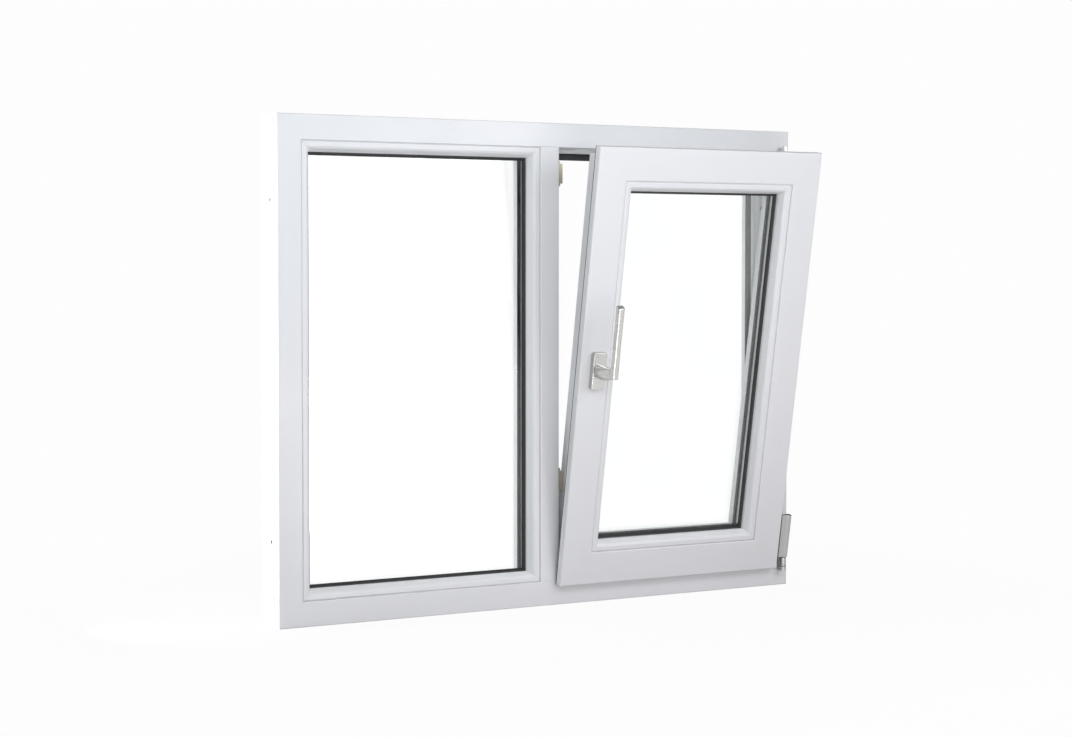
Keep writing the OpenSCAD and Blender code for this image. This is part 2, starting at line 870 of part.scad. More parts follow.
// Casings at the two left corners, where a steel strip carries the rods round the corner
module corner_drives() {
    d = rod_groove_d;
    color(metal_c) tilted() union() {
        in_left(body_z1 - corner_leg, body_z1, 0, d, rod_groove_w);
        in_top(body_x0, body_x0 + corner_leg, 0, d, rod_groove_w);
        in_left(body_z0, body_z0 + corner_leg, 0, d, rod_groove_w);
        in_bottom(body_x0, body_x0 + corner_leg, 0, d, rod_groove_w);
        in_left(body_z1 - corner_leg, body_z1, 0, faceplate_t, faceplate_w);
        in_top(body_x0, body_x0 + corner_leg, 0, faceplate_t, faceplate_w);
        in_left(body_z0, body_z0 + corner_leg, 0, faceplate_t, faceplate_w);
        in_bottom(body_x0, body_x0 + corner_leg, 0, faceplate_t, faceplate_w);
    }
}

// Slotted guide in the top groove for the stay arm's pin
module stay_guide() {
    x1 = turn_x - sqrt(arm_r * arm_r - arm_s1 * arm_s1);
    color(metal_c) tilted() difference() {
        in_top(guide_x[0], guide_x[1], 0, faceplate_t, faceplate_w);
        translate([0, slot_shift, 0]) in_top(arm_end_x, x1, -1, faceplate_t + 1, slot_w);
        for (x = [arm_end_x, x1])
            translate([x, groove_y + slot_shift, body_z1 - faceplate_t - 1])
                cylinder(r = slot_w / 2, h = faceplate_t + 2);
    }
}

module stay_arm_place() {
    p = [turn_x, axis_y, arm_z + arm_t / 2];
    translate(p) rotate(a = arm_swing, v = [0, -sin(arm_lean), cos(arm_lean)])
        translate(-p) children();
}

module stay_arm() {
    z0 = arm_z + (arm_t - eye_h) / 2;
    color(metal_c) stay_arm_place() difference() {
        union() {
            translate([turn_x, axis_y, z0]) cylinder(r = knuckle_r, h = eye_h);
            translate([link_x0, axis_y - 2, z0])
                cube([link_w, leaf_y0 + leaf_t - axis_y + 2, eye_h]);
            translate([arm_inner_x - 4, leaf_y0, z0])
                cube([link_x0 + link_w - arm_inner_x + 4, leaf_t, eye_h]);
            translate([arm_inner_x - 12, leaf_y0, arm_z])
                cube([12, groove_y + arm_w / 2 - leaf_y0, arm_t]);
            translate([arm_end_x, groove_y - arm_w / 2, arm_z])
                cube([arm_inner_x - arm_end_x, arm_w, arm_t]);
            translate([arm_end_x, groove_y, arm_z]) cylinder(r = arm_w / 2, h = arm_t);
        }
        translate([turn_x, axis_y, arm_z + arm_t / 2]) rotate([arm_lean, 0, 0])
            cylinder(r = eye_r, h = eye_h + 2, center = true);
        translate([arm_end_x, groove_y, arm_z - 1]) cylinder(r = pin_r, h = arm_t + 2);
    }
}

module stay_arm_pin() {
    color(steel_c) stay_arm_place() translate([arm_end_x, groove_y, 0]) {
        translate([0, 0, arm_z - 9]) cylinder(r = pin_r, h = arm_t + 9);
        translate([0, 0, arm_z + arm_t]) cylinder(r = 4.5, h = 1.5);
    }
}

module gearbox_case() {
    color(steel_c) tilted() difference() {
        translate([body_x0 + faceplate_t, groove_y - case_w / 2, spindle_z - case_h / 2])
            cube([case_d, case_w, case_h]);
        in_left(spindle_z - case_h, spindle_z + case_h, 0, 9.5, rod_w + 0.8);
        along_spindle(groove_y - gear_t / 2 - 0.3) cylinder(r = pitch_r + gear_m + 0.8,
            h = gear_t + 0.6);
        along_spindle(groove_y - case_w) cylinder(r = hub_r + running, h = 2 * case_w);
        for (z = handle_screw_z) along_spindle(groove_y - case_w, z)
            cylinder(r = screw_r, h = 2 * case_w);
    }
}

// Involute gear tooth: half of one flank, from the base circle to the tip
function involute(rb, r) = let (t = sqrt(max(0, r * r / (rb * rb) - 1))) t * 180 / PI - atan(t);

function gear_points(teeth, m, add, ded, slack) =
    let (rp = teeth * m / 2, rb = rp * cos(20), ra = rp + add, rf = rp - ded,
        half = 90 / teeth - slack / rp * 90 / PI,
        at = function(r) half + involute(rb, rp) - involute(rb, r), n = 5)
    [for (k = [0:teeth - 1]) let (c = (k + 0.5) * 360 / teeth)
        for (q = concat([[rf, -at(rb)]],
            [for (i = [0:n]) let (r = rb + (ra - rb) * i / n) [r, -at(r)]],
            [for (i = [n:-1:0]) let (r = rb + (ra - rb) * i / n) [r, at(r)]],
            [[rf, at(rb)]]))
            [q[0] * cos(c + q[1]), q[0] * sin(c + q[1])]];

module gearbox_pinion() {
    color(brass_c) tilted() along_spindle(groove_y) difference() {
        union() {
            translate([0, 0, -gear_t / 2]) linear_extrude(gear_t)
                polygon(gear_points(pinion_teeth, gear_m, 1.45, 1.9, 0.3));
            translate([0, 0, -case_w / 2 + 0.1]) cylinder(r = hub_r, h = case_w - 0.2);
        }
        translate([-spindle_a / 2, -spindle_a / 2, -case_w])
            cube([spindle_a, spindle_a, 2 * case_w]);
    }
}

// Rack outline in x and z, facing the pinion
module rack_outline() {
    p = PI * gear_m;
    pitch_x = spindle_x - pitch_r;
    root_x = pitch_x - 1.75;
    tip_x = pitch_x + 1;
    h = p / 4 - 0.15;
    for (k = [-8:2]) polygon([
        [root_x - 0.5, spindle_z + k * p - h - 1.75 * tan(20)],
        [root_x, spindle_z + k * p - h - 1.75 * tan(20)],
        [tip_x, spindle_z + k * p - h + tan(20)],
        [tip_x, spindle_z + k * p + h - tan(20)],
        [root_x, spindle_z + k * p + h + 1.75 * tan(20)],
        [root_x - 0.5, spindle_z + k * p + h + 1.75 * tan(20)]
    ]);
}

module lock_rod_side() {
    z0 = body_z0 + corner_leg + 2;
    z1 = body_z1 - corner_leg - rod_travel - 2;
    root = spindle_x - pitch_r - 1.75 - body_x0;
    color(steel_c) tilted() union() {
        difference() {
            in_left(z0, z1, rod_off, rod_off + rod_t, rod_w);
            in_left(spindle_z - 47, spindle_z + 16, root, root + 10, rod_w + 2);
        }
        translate([0, groove_y + gear_t / 2, 0]) rotate([90, 0, 0]) linear_extrude(gear_t)
            rack_outline();
    }
}

// A cam with a round head in the gap; the stem stands on the rod
module cam() {
    translate([0, 0, -rod_off]) cylinder(r = 3, h = rod_off + 2);
    translate([0, 0, 1.2]) cylinder(r = cam_r, h = cam_reach - 1.2);
}

module side_cams() {
    color(metal_c) tilted() for (z = side_cam_z)
        translate([body_x0, groove_y, z]) rotate([0, -90, 0]) cam();
}

module lock_rod_top() {
    color(steel_c) tilted() in_top(body_x0 + corner_leg + 2, guide_x[0] - rod_travel - 3,
        rod_off, rod_off + rod_t, rod_w);
}

module top_cam() {
    color(metal_c) tilted() translate([top_cam_x, groove_y, body_z1]) cam();
}

module lock_rod_bottom() {
    color(steel_c) tilted() in_bottom(body_x0 + corner_leg + rod_travel + 2, bottom_rod_end,
        rod_off, rod_off + rod_t, rod_w);
}

module bottom_cam() {
    color(metal_c) tilted() translate([bottom_cam_x, groove_y, body_z0]) rotate([180, 0, 0])
        cam();
}

// ---- Handle ------------------------------------------------------------------------------

shaft_r = 9;
shaft_len = 8;

module handle_rosette() {
    color(metal_c) tilted() difference() {
        along_spindle(sash_y) rotate([180, 0, 0]) hull() {
            linear_extrude(rosette_t - 1.2) round_rect(rosette_w, rosette_h, 6);
            linear_extrude(rosette_t) round_rect(rosette_w - 2.4, rosette_h - 2.4, 4.8);
        }
        along_spindle(sash_y - 20) cylinder(r = shaft_r + running, h = 40);
        for (z = handle_screw_z) {
            along_spindle(sash_y - 7, z) cylinder(r = screw_r + 1.5, h = 2.5);
            along_spindle(sash_y - 5, z) cylinder(r = screw_r, h = 6);
        }
    }
}

module handle_screws() {
    color(steel_c) tilted() for (z = handle_screw_z) {
        along_spindle(sash_y - 7, z) cylinder(r = screw_r + 1.5, h = 2.5);
        along_spindle(sash_y - 5, z) cylinder(r = screw_r, h = 5 + groove_v + 4);
    }
}

// Lever and neck in one casting; the neck's shaft turns in the rosette
module handle_lever() {
    tip_z = spindle_z + lever_reach - lever_d / 2 * tan(tip_slant);
    color(metal_c) tilted() difference() {
        union() {
            along_spindle(neck_root_y - 0.1) cylinder(r = shaft_r, h = shaft_len);
            neck();
            hull() {
                lever_layer(lever_w, lever_d, 0);
                lever_layer(lever_w - 2, lever_d - 2, 1);
            }
        }
        along_spindle(spindle_y0) translate([-spindle_a / 2, -spindle_a / 2, 0])
            cube([spindle_a, spindle_a, 80]);
        translate([spindle_x, lever_y + lever_d / 2, tip_z]) rotate([tip_slant, 0, 0])
            translate([-20, -20, 0]) cube(40);
    }
}

// The neck narrows from the rosette and rises into the foot of the lever
module neck() {
    hull() {
        along_spindle(neck_root_y) rotate([180, 0, 0]) cylinder(r = neck_r, h = 5);
        along_spindle(lever_y + lever_d, neck_foot_h / 2 - lever_drop) rotate([180, 0, 0])
            linear_extrude(2) round_rect(lever_w - 1, neck_foot_h, 6);
    }
}

module lever_layer(w, d, out) {
    translate([spindle_x, lever_y + lever_d / 2, spindle_z - lever_drop + 1 - out])
        linear_extrude(lever_drop + lever_reach - 2 + 2 * out) round_rect(w, d, 3 - out);
}

module handle_spindle() {
    y1 = groove_y + case_w / 2 - 0.1;
    color(steel_c) tilted() translate([spindle_x, spindle_y0, spindle_z])
        translate([-spindle_a / 2, 0, -spindle_a / 2])
            cube([spindle_a, y1 - spindle_y0, spindle_a]);
}

frame_head();
frame_sill();
frame_jamb_left();
frame_jamb_right();
mullion();
frame_reinforcement();
mullion_connectors();
fixed_glass_inner();
fixed_glass_outer();
fixed_spacer();
fixed_edge_sealant();
fixed_beads();
fixed_gasket_inner();
fixed_gasket_outer();
fixed_packers();
frame_seal();
strikers();
striker_screws();
drain_caps();
pivot_bearing();
pivot_pin();
stay_bearing();
stay_bearing_pin();
bearing_screws();
pivot_barrel();
sash_top_rail();
sash_bottom_rail();
sash_stile_left();
sash_stile_right();
sash_reinforcement();
sash_glass_inner();
sash_glass_outer();
sash_spacer();
sash_edge_sealant();
sash_beads();
sash_gasket_inner();
sash_gasket_outer();
sash_packers();
sash_seal();
corner_hinge();
corner_hinge_cap();
lock_faceplates();
corner_drives();
stay_guide();
gearbox_case();
handle_rosette();
handle_screws();
stay_arm();
stay_arm_pin();
handle_lever();
handle_spindle();
gearbox_pinion();
lock_rod_side();
side_cams();
lock_rod_top();
top_cam();
lock_rod_bottom();
bottom_cam();
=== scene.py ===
"""Looks for the two-light window: swept profiles, gaskets, glass, handle and hinge in mesh code.

Lengths are in millimetres until a mesh is made. The sash is drawn closed and then tilted, as the
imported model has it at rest.
"""
import json
import math

import bmesh
import bpy
from mathutils import Matrix, Vector


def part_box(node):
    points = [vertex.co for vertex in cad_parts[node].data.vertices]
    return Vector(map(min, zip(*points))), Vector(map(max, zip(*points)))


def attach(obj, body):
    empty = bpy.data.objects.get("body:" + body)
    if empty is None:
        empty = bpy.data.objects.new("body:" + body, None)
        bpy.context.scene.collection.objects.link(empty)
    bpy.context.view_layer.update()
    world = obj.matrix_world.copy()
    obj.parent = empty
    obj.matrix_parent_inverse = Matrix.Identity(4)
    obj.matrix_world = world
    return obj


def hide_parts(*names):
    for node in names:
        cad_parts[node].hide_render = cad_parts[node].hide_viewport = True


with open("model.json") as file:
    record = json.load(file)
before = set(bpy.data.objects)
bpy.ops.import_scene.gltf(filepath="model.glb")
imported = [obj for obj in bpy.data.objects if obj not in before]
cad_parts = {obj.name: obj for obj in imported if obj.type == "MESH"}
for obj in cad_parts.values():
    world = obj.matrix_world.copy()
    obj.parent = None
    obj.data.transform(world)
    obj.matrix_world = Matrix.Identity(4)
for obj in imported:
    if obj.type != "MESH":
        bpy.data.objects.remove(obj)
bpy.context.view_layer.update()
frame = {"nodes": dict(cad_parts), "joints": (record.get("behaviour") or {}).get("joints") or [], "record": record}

MM = 0.001
joints = {j["name"]: j for j in frame["joints"]}


def low(node, axis):
    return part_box(node)[0]["xyz".index(axis)] / MM


def high(node, axis):
    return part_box(node)[1]["xyz".index(axis)] / MM


# ---- Sizes, from the frame where it says them ------------------------------------------------

FRAME_Y = low("frame_head", "y")
DEPTH = high("frame_head", "y") - FRAME_Y
WIDTH = high("frame_sill", "x") - low("frame_sill", "x")
HEIGHT = high("frame_jamb_left", "z")
FACE = low("fixed_beads", "z")
LEG_H = high("frame_sill", "z") - FACE
LEG_V = 55  # from the room face to the rebate leg
MULLION = 2 * (high("mullion", "x") - LEG_H)
SASH_X0 = low("sash_stile_left", "x")
SASH_X1 = high("sash_stile_right", "x")
OVERLAP = MULLION / 2 - SASH_X0
SASH_Z0 = FACE - OVERLAP
PROUD = 18  # how far the sash's face stands in front of the frame's
SASH_Y = FRAME_Y - PROUD
SASH_FACE = 62
FLANGE_W, FLANGE_T = 20, 15
GROOVE_V = 28  # from the sash's face to the middle of its hardware groove
GROOVE_Y = SASH_Y + GROOVE_V
WALL = 2.8
STEEL_V, STEEL_W, STEEL_D = 17, 25, 30
BEAD_W = 20
UNIT_V0, UNIT_V1 = 27, 51  # the glass unit's two faces
SEAM = 0.12  # how deep a welded corner's V groove is

TILT = -math.radians(joints["tilt"]["range_deg"][0])
TILT_AT = Vector(joints["tilt"]["pos_m"]) / MM
TURN_AT = Vector(joints["turn"]["pos_m"]) / MM
TILTED = (Matrix.Translation(TILT_AT) @ Matrix.Rotation(TILT, 4, "X")
          @ Matrix.Translation(-TILT_AT))
STILL = Matrix.Identity(4)

REBATE_W = WIDTH / 2 - FACE - MULLION / 2
REBATE_H = HEIGHT - 2 * FACE

# Rectangles that bars run round: left, bottom, width, height and the y of the room face
OUTER = (-WIDTH / 2, 0, WIDTH, HEIGHT, FRAME_Y)
FIXED = (-WIDTH / 2 + FACE, FACE, REBATE_W, REBATE_H, FRAME_Y)
OPENING = (MULLION / 2, FACE, REBATE_W, REBATE_H, FRAME_Y)
SASH_W, SASH_H = SASH_X1 - SASH_X0, HEIGHT - 2 * SASH_Z0
SASH = (SASH_X0, SASH_Z0, SASH_W, SASH_H, SASH_Y)
SASH_GLAZING = (SASH_X0 + SASH_FACE, SASH_Z0 + SASH_FACE, SASH_W - 2 * SASH_FACE,
                SASH_H - 2 * SASH_FACE, SASH_Y)
BODY_X0 = SASH_X0 + FLANGE_W

# Handle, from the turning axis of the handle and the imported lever
SPINDLE = TILTED.inverted() @ (Vector(joints["handle_turn"]["pos_m"]) / MM)
LEVER_W, LEVER_D, LEVER_UP, LEVER_DROP, STANDOFF = 14, 11, 133, 4, 62
TIP_SLANT = math.radians(24)
ROSETTE_W, ROSETTE_H, ROSETTE_T = 28, 70, 11
ROSETTE_CORNER, ROSETTE_FILLET, ROSETTE_CROWN = 4.5, 1.3, 0.3
NECK_R, FOOT_H = 13.2, 18
SHAFT_R, SHAFT_IN, SHAFT_PLAY = 8.9, 7.5, 0.2

# Hinge side
KNUCKLE_R = 6.5
CAP_Z0, CAP_H, CAP_FILLET = TILT_AT.z + 17, 86, 1.6
BARREL_Z0, BARREL_Z1 = TILT_AT.z - 3.5, TILT_AT.z + 14.7

# ---- Materials ---------------------------------------------------------------------------------


class Graph:
    """The nodes of a material or a world. put() adds a node with its settings and inputs, and an
    input may be another node's output."""

    def __init__(self, owner):
        self.owner = owner
        self.owner.use_nodes = True
        self.tree = self.owner.node_tree
        self.tree.nodes.clear()

    def put(self, kind, inputs=None, **settings):
        node = self.tree.nodes.new("ShaderNode" + kind)
        for key, value in settings.items():
            setattr(node, key, value)
        for key, value in (inputs or {}).items():
            if isinstance(value, bpy.types.NodeSocket):
                self.tree.links.new(value, node.inputs[key])
            else:
                node.inputs[key].default_value = value
        return node

    def math(self, operation, a, b=0.5):
        return self.put("Math", {0: a, 1: b}, operation=operation).outputs[0]

    def remap(self, value, lo, hi, out_lo, out_hi):
        return self.put("MapRange", {"Value": value, "From Min": lo, "From Max": hi,
                                     "To Min": out_lo, "To Max": out_hi}).outputs[0]

    def mix(self, factor, a, b):
        node = self.put("Mix", data_type="RGBA")
        for socket, value in ((node.inputs[0], factor), (node.inputs[6], a), (node.inputs[7], b)):
            if isinstance(value, bpy.types.NodeSocket):
                self.tree.links.new(value, socket)
            else:
                socket.default_value = value
        return node.outputs[2]

    def place(self, scale=(1, 1, 1), turned=0.0):
        """Coordinates in metres, turned back by the sash's tilt and then stretched."""
        at = self.put("TexCoord").outputs["Object"]
        if turned:
            at = self.put("Mapping", {"Vector": at, "Rotation": (-turned, 0, 0)}).outputs[0]
        return self.put("Mapping", {"Vector": at, "Scale": scale}).outputs[0]

    def noise(self, at, scale, detail=3.0, rough=0.5):
        return self.put("TexNoise", {"Vector": at, "Scale": scale, "Detail": detail,
                                     "Roughness": rough}).outputs["Fac"]

    def bump(self, height, strength, distance, normal=None):
        inputs = {"Height": height, "Strength": strength, "Distance": distance}
        if normal is not None:
            inputs["Normal"] = normal
        return self.put("Bump", inputs).outputs[0]

    def surface(self, shader):
        out = self.put("OutputMaterial")
        self.tree.links.new(shader, out.inputs["Surface"])
        return self.owner

    def principled(self, **inputs):
        names = {key.replace("_", " "): value for key, value in inputs.items()}
        return self.put("BsdfPrincipled", names).outputs[0]


def material_graph(name):
    return Graph(bpy.data.materials.new(name))


def rgb(r, g, b):
    return (r, g, b, 1.0)


def pvc(name, along, turned=0.0):
    """White extruded PVC: faint die lines along the bar, a soft orange peel and handling marks."""
    g = material_graph(name)
    at = g.place(turned=turned)
    stretch = {"x": (0.02, 1, 1), "z": (1, 1, 0.02)}[along]
    lines = g.noise(g.place(stretch, turned), 900, 2.0)
    peel = g.noise(at, 420, 2.0)
    cloud = g.noise(at, 3.5, 4.0)
    dust = g.noise(at, 60, 5.0, 0.65)
    clean, worn = rgb(0.850, 0.850, 0.862), rgb(0.806, 0.806, 0.818)
    colour = g.mix(g.remap(cloud, 0.3, 0.75, 0, 1), clean, worn)
    colour = g.mix(g.remap(dust, 0.62, 0.8, 0, 0.25), colour, rgb(0.74, 0.74, 0.74))
    rough = g.math("ADD", g.remap(cloud, 0.3, 0.7, 0.26, 0.36), g.remap(dust, 0.4, 0.8, 0, 0.10))
    normal = g.bump(lines, 0.10, 0.00006)
    normal = g.bump(peel, 0.12, 0.00012, normal)
    return g.surface(g.principled(Base_Color=colour, Roughness=rough, Normal=normal, IOR=1.49,
                                  Specular_IOR_Level=0.45))


def plastic(name, colour, rough):
    g = material_graph(name)
    at = g.place()
    grain = g.noise(at, 700, 3.0)
    cloud = g.noise(at, 25, 3.0)
    dark = rgb(*[c * 0.82 for c in colour[:3]])
    return g.surface(g.principled(
        Base_Color=g.mix(g.remap(cloud, 0.3, 0.7, 0, 1), colour, dark),
        Roughness=g.remap(cloud, 0.3, 0.7, rough, rough + 0.12), IOR=1.5,
        Normal=g.bump(grain, 0.25, 0.0001)))


def rubber(name, colour, rough=0.55):
    """Extruded EPDM: near black, bloomed a little, with a fine matt skin."""
    g = material_graph(name)
    at = g.place()
    bloom = g.noise(at, 45, 4.0, 0.6)
    skin = g.noise(at, 1500, 2.0)
    grey = rgb(*[c * 2.4 + 0.006 for c in colour[:3]])
    return g.surface(g.principled(
        Base_Color=g.mix(g.remap(bloom, 0.45, 0.8, 0, 0.5), colour, grey),
        Roughness=g.remap(bloom, 0.3, 0.7, rough - 0.1, rough + 0.15), IOR=1.52,
        Normal=g.bump(skin, 0.3, 0.00008)))


def metal(name, colour, rough, grain=(1, 1, 1), turned=0.0, mottled=0.0):
    """Metal with a fine grain, which runs along the direction that grain stretches it in."""
    g = material_graph(name)
    fine = g.noise(g.place(grain, turned), 1400, 3.0, 0.6)
    at = g.place(turned=turned)
    cloud = g.noise(at, 30, 4.0, 0.6)
    dark = rgb(*[c * (0.9 - mottled) for c in colour[:3]])
    tone = g.mix(g.remap(cloud, 0.35, 0.7, 0, 1), colour, dark)
    uneven = g.math("ADD", g.remap(fine, 0.3, 0.7, rough - 0.05, rough + 0.06),
                    g.remap(cloud, 0.45, 0.8, 0, 0.12))
    return g.surface(g.principled(Base_Color=tone, Metallic=1.0, Roughness=uneven,
                                  Normal=g.bump(fine, 0.12, 0.00005)))


def galvanised(name):
    """Hot-dip zinc: crystal spangles of slightly different greys."""
    g = material_graph(name)
    at = g.place()
    cell = g.put("TexVoronoi", {"Vector": at, "Scale": 120.0, "Randomness": 1.0})
    fleck = g.put("SeparateColor", {"Color": cell.outputs["Color"]}).outputs[0]
    cloud = g.noise(at, 40, 3.0)
    tone = g.mix(g.remap(fleck, 0, 1, 0, 1), rgb(0.50, 0.52, 0.54), rgb(0.66, 0.68, 0.69))
    return g.surface(g.principled(
        Base_Color=tone, Metallic=1.0,
        Roughness=g.math("ADD", g.remap(fleck, 0, 1, 0.3, 0.48), g.remap(cloud, 0.4, 0.8, 0, 0.1)),
        Normal=g.bump(fleck, 0.15, 0.00008)))


def passivated(name):
    """Yellow passivated zinc: straw colour that drifts to olive and pink, as the film varies."""
    g = material_graph(name)
    at = g.place()
    film = g.noise(at, 55, 4.0, 0.6)
    fine = g.noise(at, 900, 3.0)
    tone = g.mix(g.remap(film, 0.35, 0.65, 0, 1), rgb(0.74, 0.68, 0.52), rgb(0.62, 0.58, 0.44))
    tone = g.mix(g.remap(film, 0.6, 0.75, 0, 0.6), tone, rgb(0.70, 0.60, 0.50))
    return g.surface(g.principled(
        Base_Color=tone, Metallic=1.0,
        Roughness=g.math("ADD", g.remap(film, 0.3, 0.7, 0.3, 0.4), g.remap(fine, 0.3, 0.7, 0, 0.1)),
        Normal=g.bump(fine, 0.15, 0.00006)))


def spacer_metal(name, along, turned=0.0):
    """Mill aluminium with the two rows of breathing holes, seen through the glass. The holes are painted near
    black, as painted shade of the hollow behind them.
    """
    holes_per_metre, hole_half, row_waves = 400.0, 0.12, 60.0
    g = material_graph(name)
    at = g.place(turned=turned)
    xyz = g.put("SeparateXYZ", {"Vector": at})
    run = xyz.outputs["X" if along == "x" else "Z"]
    pitch = g.math("FRACT", g.math("MULTIPLY", run, holes_per_metre))
    off_centre = g.math("ABSOLUTE", g.math("SUBTRACT", pitch, 0.5))
    fine = g.noise(g.place({"x": (0.03, 1, 1), "z": (1, 1, 0.03)}[along], turned), 1200, 3.0)
    row = g.put("TexWave", {"Vector": g.place((0, 1, 0), turned), "Scale": row_waves,
                            "Distortion": 0.0}, bands_direction="Y")
    hole = g.math("MULTIPLY", g.math("LESS_THAN", off_centre, hole_half),
                  g.math("GREATER_THAN", row.outputs["Fac"], 0.93))
    # Near black in the holes is painted shade, not a colour of the aluminium
    tone = g.mix(hole, rgb(0.60, 0.61, 0.62), rgb(0.06, 0.06, 0.06))
    return g.surface(g.principled(
        Base_Color=tone, Metallic=1.0, Roughness=g.remap(fine, 0.3, 0.7, 0.32, 0.45),
        Normal=g.bump(fine, 0.15, 0.00005)))


def float_glass(name, clean, filmed):
    """Clear float glass. Lamps' light passes through it."""
    g = material_graph(name)
    at = g.place()
    film = g.noise(at, 8, 3.0)
    shader = g.principled(
        Base_Color=g.mix(g.remap(film, 0.3, 0.7, 0, 1), clean, filmed),
        Transmission_Weight=1.0, IOR=1.5, Roughness=g.remap(film, 0.5, 0.9, 0.0, 0.015))
    clear = g.put("BsdfTransparent", {"Color": rgb(0.93, 0.96, 0.95)}).outputs[0]
    shadow = g.put("LightPath").outputs["Is Shadow Ray"]
    return g.surface(g.put("MixShader", {0: shadow, 1: shader, 2: clear}).outputs[0])


PVC = {
    ("frame", "x"): pvc("frame_pvc_x", "x"), ("frame", "z"): pvc("frame_pvc_z", "z"),
    ("sash", "x"): pvc("sash_pvc_x", "x", TILT), ("sash", "z"): pvc("sash_pvc_z", "z", TILT),
}
RUBBER = rubber("seal_rubber", rgb(0.012, 0.012, 0.013))
SEALANT = rubber("sealant", rgb(0.01, 0.01, 0.01), 0.7)
# The sash's glass gets a darker tint than the fixed glass: painted shade, as both are the same clear float glass
GLASS = {"frame": float_glass("fixed_glass", rgb(0.995, 1.0, 0.998), rgb(0.985, 0.992, 0.99)),
         "sash": float_glass("sash_glass", rgb(0.965, 0.975, 0.972), rgb(0.955, 0.968, 0.965))}
HANDLE = metal("handle_metal", rgb(0.55, 0.545, 0.53), 0.23, (1, 1, 0.05), TILT)
HINGE = metal("hinge_metal", rgb(0.385, 0.38, 0.375), 0.32, (1, 1, 0.05), TILT)
ZINC = metal("hardware_steel", rgb(0.56, 0.57, 0.57), 0.36, (0.06, 1, 0.06), TILT, 0.08)
BRIGHT = metal("bright_steel", rgb(0.62, 0.62, 0.61), 0.25)
GALVANISED = galvanised("galvanised_steel")
BRASS = passivated("striker_brass")
GEAR = metal("gear_brass", rgb(0.62, 0.50, 0.26), 0.3)
PACKER = plastic("packer_plastic", rgb(0.05, 0.16, 0.42), 0.42)
TRIM = plastic("trim_plastic", rgb(0.80, 0.81, 0.82), 0.38)
SLOT_MATERIAL = {
    "frame_pvc": PVC["frame", "x"], "sash_pvc": PVC["sash", "x"], "bead_pvc": PVC["frame", "x"],
    "trim_plastic": TRIM, "galvanised_steel": GALVANISED, "glass": GLASS["frame"],
    "spacer_aluminium": spacer_metal("spacer_aluminium", "x"), "sealant": SEALANT,
    "seal_rubber": RUBBER, "packer_plastic": PACKER, "striker_brass": BRASS,
    "bright_steel": BRIGHT, "hinge_metal": HINGE, "hardware_steel": ZINC,
    "handle_metal": HANDLE, "gear_brass": GEAR,
}

# ---- Outlines and meshes -----------------------------------------------------------------------


def rounded(points, steps=5):
    """A closed outline from corners (u, v, radius), each rounded by its own radius."""
    out = []
    for i, (u, v, r) in enumerate(points):
        here = Vector((u, v))
        if r <= 0:
            out.append((u, v))
            continue
        to_a = Vector(points[i - 1][:2]) - here
        to_b = Vector(points[(i + 1) % len(points)][:2]) - here
        half = to_a.angle(to_b) / 2
        cut = min(r / math.tan(half), 0.49 * to_a.length, 0.49 * to_b.length)
        r = cut * math.tan(half)
        centre = here + (to_a.normalized() + to_b.normalized()).normalized() * (r / math.sin(half))
        first = here + to_a.normalized() * cut - centre
        turn = first.angle_signed(here + to_b.normalized() * cut - centre)
        for k in range(steps + 1):
            spoke = first.copy()
            spoke.rotate(Matrix.Rotation(-turn * k / steps, 2))
            out.append(tuple(centre + spoke))
    return out


def inset(outline, d):
    """The outline moved inwards by d."""
    area = sum(a[0] * b[1] - b[0] * a[1] for a, b in zip(outline, outline[1:] + outline[:1]))
    sign = 1 if area > 0 else -1
    out = []
    for i, here in enumerate(outline):
        e0 = (Vector(here) - Vector(outline[i - 1])).normalized()
        e1 = (Vector(outline[(i + 1) % len(outline)]) - Vector(here)).normalized()
        n0, n1 = Vector((-e0.y, e0.x)) * sign, Vector((-e1.y, e1.x)) * sign
        middle = n0 + n1
        out.append(tuple(Vector(here) + middle * (d / max(0.3, 1 + n0.dot(n1)))))
    return out


def loft(rings):
    """Vertices and faces of a skin over rings of equal length, closed at both ends."""
    n = len(rings[0])
    verts = [p for ring in rings for p in ring]
    faces = [(r * n + i, r * n + (i + 1) % n, (r + 1) * n + (i + 1) % n, (r + 1) * n + i)
             for r in range(len(rings) - 1) for i in range(n)]
    faces.append(tuple(range(n)))
    faces.append(tuple(range((len(rings) - 1) * n, len(rings) * n)))
    return verts, faces


# For each side of a rectangle: its first corner, the way it runs, and the way inwards, in x and z
SIDES = (((0, 0), (1, 0), (0, 1)), ((1, 0), (0, 1), (-1, 0)),
         ((1, 1), (-1, 0), (0, -1)), ((0, 1), (0, -1), (1, 0)))
SIDE_NAMES = ("bottom", "right", "top", "left")
SIDE_RUNS = ("x", "z", "x", "z")


def side_length(rect, side):
    return rect[2] if SIDE_RUNS[side] == "x" else rect[3]


def on_side(rect, side, along, u, v):
    corner, run, inward = SIDES[side]
    return (rect[0] + rect[2] * corner[0] + run[0] * along + inward[0] * u, rect[4] + v,
            rect[1] + rect[3] * corner[1] + run[1] * along + inward[1] * u)


def mitred(rect, side, outline, seam=0.0, gap=0.0):
    """One bar of a ring, cut to 45 degrees at both ends. A seam sinks its ends for the V groove
    that two welded bars leave."""
    length = side_length(rect, side)
    ends = [(inset(outline, seam), gap), (outline, gap + seam)] if seam else [(outline, gap)]
    rings = [[on_side(rect, side, u + back, u, v) for u, v in shape] for shape, back in ends]
    rings += [[on_side(rect, side, length - u - back, u, v) for u, v in shape]
              for shape, back in reversed(ends)]
    return loft(rings)


